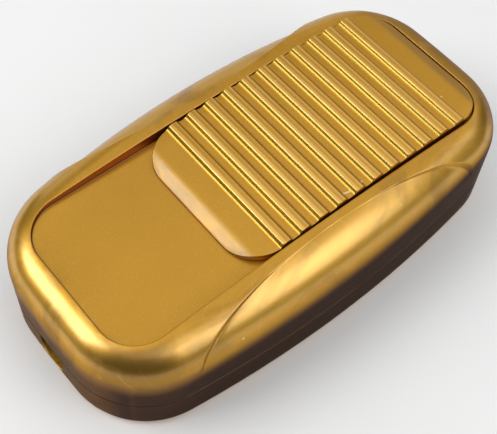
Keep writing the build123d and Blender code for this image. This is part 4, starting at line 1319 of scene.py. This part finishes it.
class DIMMER_OT_base_shell(bpy.types.Operator):
    """Build the base shell with its tongue, cord notches, pillars and posts"""

    bl_idname = "dimmer.base_shell"
    bl_label = "Base shell"

    def execute(self, context):
        scene = context.scene
        housing = scene.dimmer_housing
        fixing = scene.dimmer_fixing
        piece = base_shell(housing).piece("base")
        for side in (1, -1):
            cut(piece, self.notch(housing, fixing, side))
        screws = four_corners(fixing.screw_x, fixing.screw_y)
        drill(piece, screws, -1 * MM, housing.floor + 1 * MM, fixing.head_bore)
        posts = Form()
        half_floor = housing.floor / 2
        for corner in screws:
            self.pillar(posts, housing, fixing, corner)
        bore = (fixing.board_bore, fixing.board_depth)
        for corner in four_corners(fixing.board_x, fixing.board_y):
            boss(posts, corner, bore, fixing.board_top, half_floor, fixing.board_post)
        bore = (fixing.clamp_bore, fixing.clamp_depth)
        for corner in four_corners(fixing.clamp_x, fixing.clamp_y):
            boss(posts, corner, bore, fixing.clamp_top, half_floor, fixing.clamp_post)
        for x in (-fixing.clamp_x, fixing.clamp_x):
            for offset in (-fixing.saddle_gap, fixing.saddle_gap):
                self.saddle(posts, housing, fixing, x + offset)
        join(piece, posts.piece("posts"))
        smooth(piece)
        hand_over(piece, gold_shell(scene), "gold_shell", "housing", "base_shell")
        return {"FINISHED"}

    def pillar(self, posts, housing, fixing, corner):
        """A pillar with a pocket for the screw's head below and a hole for its shank above."""
        high = housing.parting
        low = housing.floor / 2
        profile = [(fixing.head_bore, low), (fixing.head_bore, fixing.seat)]
        profile += [(fixing.shank_bore, fixing.seat), (fixing.shank_bore, high)]
        profile += [(fixing.pillar, high), (fixing.pillar, low)]
        posts.turned(profile, *corner, closed=True)

    def saddle(self, posts, housing, fixing, x):
        """A low round ridge across the cord's way, which the cord is clamped down on."""
        section = (x, housing.floor) + fixing.saddle * compass(0, 2 * pi, TURN_STEPS)
        reach = fixing.saddle_length / 2
        posts.rings([np.insert(section, 1, y, axis=1) for y in (-reach, reach)])

    def notch(self, housing, fixing, side):
        """The round-bottomed way for a cord through one end wall, flared at its outer edge."""
        end = housing.length / 2
        axis = housing.parting - fixing.notch
        clear = 3 * MM
        turns = np.linspace(pi, 2 * pi, NOTCH_STEPS)
        rings = []
        for x, grow in (
            (end - 4 * housing.wall, 0),
            (end - fixing.notch_edge, 0),
            (end + clear, clear + fixing.notch_edge),
        ):
            radius = fixing.notch + grow
            section = [(radius * cos(turn), axis + radius * sin(turn)) for turn in turns]
            section += [(radius, housing.crest), (-radius, housing.crest)]
            rings.append(slice_at(side * x, section))
        return Form().rings(rings).piece("notch")


class DIMMER_OT_slider(bpy.types.Operator):
    """Build the ribbed slider with its lever socket and snap legs"""

    bl_idname = "dimmer.slider"
    bl_label = "Slider"

    def execute(self, context):
        scene = context.scene
        sizes = scene.dimmer_slider
        material = gold_slider(scene)
        piece = slider_plate(sizes).piece("pedal_top")
        wall = sizes.width / 2 - sizes.skirt
        inner = sizes.stiffener - sizes.stiffener_half
        outer = sizes.stiffener + sizes.stiffener_half
        for low, high in ((-wall, -outer), (-inner, inner), (outer, wall)):
            cut(piece, slider_hollow(sizes, low, high).piece("hollow"))
        smooth(piece)
        ribs = smooth(slider_rib(sizes).piece("ribs"), RIB_SHARP)
        values = {"Count": sizes.ribs, "Pitch": sizes.rib_pitch, "Radius": sizes.arch}
        values |= {"Middle": (sizes.middle, 0, sizes.crest), "Material": material}
        arch_row().apply(ribs, values)
        join(piece, ribs, smooth(self.stem(sizes)))
        hand_over(piece, material, "gold_slider", "pedal", "slider")
        return {"FINISHED"}

    def stem(self, sizes):
        """The lever's socket and the two barbed legs that snap under the track's floor."""
        ends = (sizes.middle - sizes.stem / 2, sizes.middle + sizes.stem / 2)
        roof = sizes.crest - sizes.skin + 0.2 * MM
        half = sizes.stem_half
        stem = Form().prism(block(-half, half, sizes.stem_bottom, roof), *ends).piece("stem")
        half = sizes.pocket_half
        section = block(-half, half, sizes.stem_bottom - 1 * MM, sizes.pocket_top)
        pocket_ends = (sizes.middle - sizes.pocket_reach, sizes.middle + sizes.pocket_reach)
        cut(stem, Form().prism(section, *pocket_ends).piece("pocket"))
        foot = sizes.barb_top - sizes.barb_height
        legs = Form()
        for side in (1, -1):
            inner, outer, tip = (side * y for y in (sizes.leg_inner, sizes.leg_outer, sizes.barb))
            section = [(inner, roof), (outer, roof), (outer, sizes.barb_top), (tip, sizes.barb_top)]
            legs.prism(section + [(outer, foot), (inner, foot)], *ends)
        return join(stem, legs.piece("legs"))


# Radius, length, head radius, head height and pitch of each kind of screw, in millimetres
SCREWS = {
    "housing_screws": (1.45, 16.0, 2.75, 2.0, 1.1),
    "board_screws": (1.0, 4.2, 1.9, 1.3, 0.8),
    "clamp_screws": (1.2, 7.0, 2.3, 1.6, 0.9),
    "terminal_screws": (1.0, 3.4, 1.7, 1.8, 0.8),
}
# X, Y and seat height of the first screw of each kind, in millimetres
SCREW_PLACES = {
    "housing_screws": (44, 16.6, 4.0),
    "board_screws": (33, 17, 6.4),
    "clamp_screws": (45, 8, 11.9),
    "terminal_screws": (31, 2.5, 13.0),
}
# Seed for the turns of the first kind of screw; each further kind takes the next number
FIRST_SEED = 3


class DIMMER_OT_screws(bpy.types.Operator):
    """Build the threaded screws and set them out in fours"""

    bl_idname = "dimmer.screws"
    bl_label = "Screws"

    def execute(self, context):
        scene = context.scene
        steel = metal("screw_steel", scene.dimmer_inner.steel, 0.3, (1, 1, 2), RUST)
        pattern = four_places()
        for seed, (node, sizes) in enumerate(SCREWS.items(), FIRST_SEED):
            piece = threaded_screw(f"{node}_set", *(value * MM for value in sizes))
            x, y, seat = (value * MM for value in SCREW_PLACES[node])
            flip = pi if node == "housing_screws" else 0.0
            values = {"Reach X": x, "Reach Y": y, "Height": seat, "Flip": flip}
            pattern.apply(piece, values | {"Seed": seed, "Material": steel})
            hand_over(piece, steel, "steel", "housing", node)
        return {"FINISHED"}


class DIMMER_OT_inner(bpy.types.Operator):
    """Give every part inside the housing its finish"""

    bl_idname = "dimmer.inner"
    bl_label = "Inner parts"

    def execute(self, context):
        look = context.scene.dimmer_inner
        made = {}
        for name, node in frame["nodes"].items():
            slot = node.data.materials[0].name.split(".")[0]
            if name in ("upper_shell", "base_shell", "slider") or name.endswith("_screws"):
                continue
            if slot not in made:
                made[slot] = inner_finish(slot, look)
            dress(node, made[slot])
        return {"FINISHED"}


# The camera's place, and its right, up and backward directions, as fitted to the photograph
CAMERA_PLACE = (-87.43 * MM, -89.48 * MM, 199.60 * MM)
CAMERA_TURN = (
    (0.76941864, -0.63750876, 0.03971824),
    (0.52160249, 0.66298661, 0.53700987),
    (-0.36868116, -0.39246827, 0.84264041),
)
CAMERA_LENS = 72.73
SENSOR_WIDTH = 36.0
FLOOR_REACH = 3.0
# Each lamp's name, the value that holds its power, and its width and place in metres
LAMPS = (
    ("key", "key", 0.4, (-0.39, 0.28, 0.46)),
    ("fill", "fill", 1.1, (0.14, -0.10, 0.60)),
    ("front", "front", 0.66, (0.22, -0.68, 0.58)),
    ("back", "back", 0.8, (0.35, 0.85, 0.32)),
    ("side", "back", 0.8, (0.90, 0.40, 0.34)),
)


class DIMMER_OT_stage(bpy.types.Operator):
    """Set out the floor, the lamps and the camera"""

    bl_idname = "dimmer.stage"
    bl_label = "Stage"

    def execute(self, context):
        look = context.scene.dimmer_stage
        self.floor(context, look)
        self.sky(context, look)
        for name, value, width, spot in LAMPS:
            self.lamp(context, name, getattr(look, value), width, spot)
        self.camera(context)
        context.scene.view_settings.view_transform = "Standard"
        return {"FINISHED"}

    def floor(self, context, look):
        """A wide floor at the height of the housing's underside."""
        mesh = bpy.data.meshes.new("floor")
        corners = [(x, y, CAD_BOX[0].z) for x, y in four_corners(FLOOR_REACH, FLOOR_REACH)]
        mesh.from_pydata(corners, [], [(0, 1, 2, 3)])
        floor = bpy.data.objects.new("floor", mesh)
        context.scene.collection.objects.link(floor)
        recipe = Recipe("floor")
        tint = recipe.shaded(look.floor, recipe.noise(30, 2) * 0.03 + 0.97)
        mesh.materials.append(recipe.finish(Base_Color=tint, Roughness=0.85))

    def sky(self, context, look):
        """Even light from above that fades towards the horizon."""
        world = bpy.data.worlds.new("sky")
        world.use_nodes = True
        tree = Tree(world.node_tree)
        place = tree.node("ShaderNodeTexCoord", output="Generated")
        rise = {"Value": tree.node("ShaderNodeSeparateXYZ", None, {0: place}, "Z")}
        rise |= {"From Min": 0.1, "From Max": 0.75, "To Min": 0.06 * look.sky, "To Max": look.sky}
        strength = tree.node("ShaderNodeMapRange", {"interpolation_type": "SMOOTHSTEP"}, rise)
        background = world.node_tree.nodes["Background"]
        tree.feed(background.inputs["Strength"], strength)
        tree.feed(background.inputs["Color"], (1, 1, 1, 1))
        context.scene.world = world

    def lamp(self, context, name, watts, width, spot):
        """A square soft lamp that faces the object."""
        light = bpy.data.lights.new(name, "AREA")
        light.energy = watts
        light.size = width
        lamp = bpy.data.objects.new(name, light)
        lamp.location = spot
        lamp.rotation_mode = "QUATERNION"
        lamp.rotation_quaternion = (-Vector(spot)).to_track_quat("-Z", "Y")
        context.scene.collection.objects.link(lamp)

    def camera(self, context):
        """The photograph's view."""
        lens = bpy.data.cameras.new("camera")
        lens.lens = CAMERA_LENS
        lens.sensor_width = SENSOR_WIDTH
        lens.clip_start = 0.01
        camera = bpy.data.objects.new("camera", lens)
        turn = Matrix(CAMERA_TURN).transposed().to_4x4()
        camera.matrix_world = Matrix.Translation(CAMERA_PLACE) @ turn
        context.scene.collection.objects.link(camera)
        context.scene.camera = camera


class DIMMER_PT_panel(bpy.types.Panel):
    """Steps and values of the foot dimmer"""

    bl_idname = "DIMMER_PT_panel"
    bl_label = "Foot Dimmer"
    bl_space_type = "VIEW_3D"
    bl_region_type = "UI"
    bl_category = "Foot Dimmer"

    def draw(self, context):
        for step in STEPS:
            self.layout.operator(step.bl_idname)
        for name in GROUPS:
            group = getattr(context.scene, name)
            box = self.layout.box()
            for key in group.__annotations__:
                box.prop(group, key, text=key.replace("_", " ").capitalize())


GROUPS = {
    "dimmer_housing": HousingSizes,
    "dimmer_scallop": ScallopSizes,
    "dimmer_track": TrackSizes,
    "dimmer_fixing": FixingSizes,
    "dimmer_slider": SliderSizes,
    "dimmer_gold": GoldFinish,
    "dimmer_inner": InnerFinish,
    "dimmer_stage": StageLook,
}
STEPS = (
    DIMMER_OT_upper_shell,
    DIMMER_OT_base_shell,
    DIMMER_OT_slider,
    DIMMER_OT_screws,
    DIMMER_OT_inner,
    DIMMER_OT_stage,
)


def register():
    for kind in (*GROUPS.values(), *STEPS, DIMMER_PT_panel):
        bpy.utils.register_class(kind)
    for name, kind in GROUPS.items():
        setattr(bpy.types.Scene, name, PointerProperty(type=kind))


def unregister():
    for name in GROUPS:
        delattr(bpy.types.Scene, name)
    for kind in (DIMMER_PT_panel, *reversed(STEPS), *reversed(GROUPS.values())):
        bpy.utils.unregister_class(kind)


def main():
    """Builds the whole scene."""
    register()
    for step in STEPS:
        family, action = step.bl_idname.split(".")
        getattr(getattr(bpy.ops, family), action)()


if __name__ == "__main__":
    main()
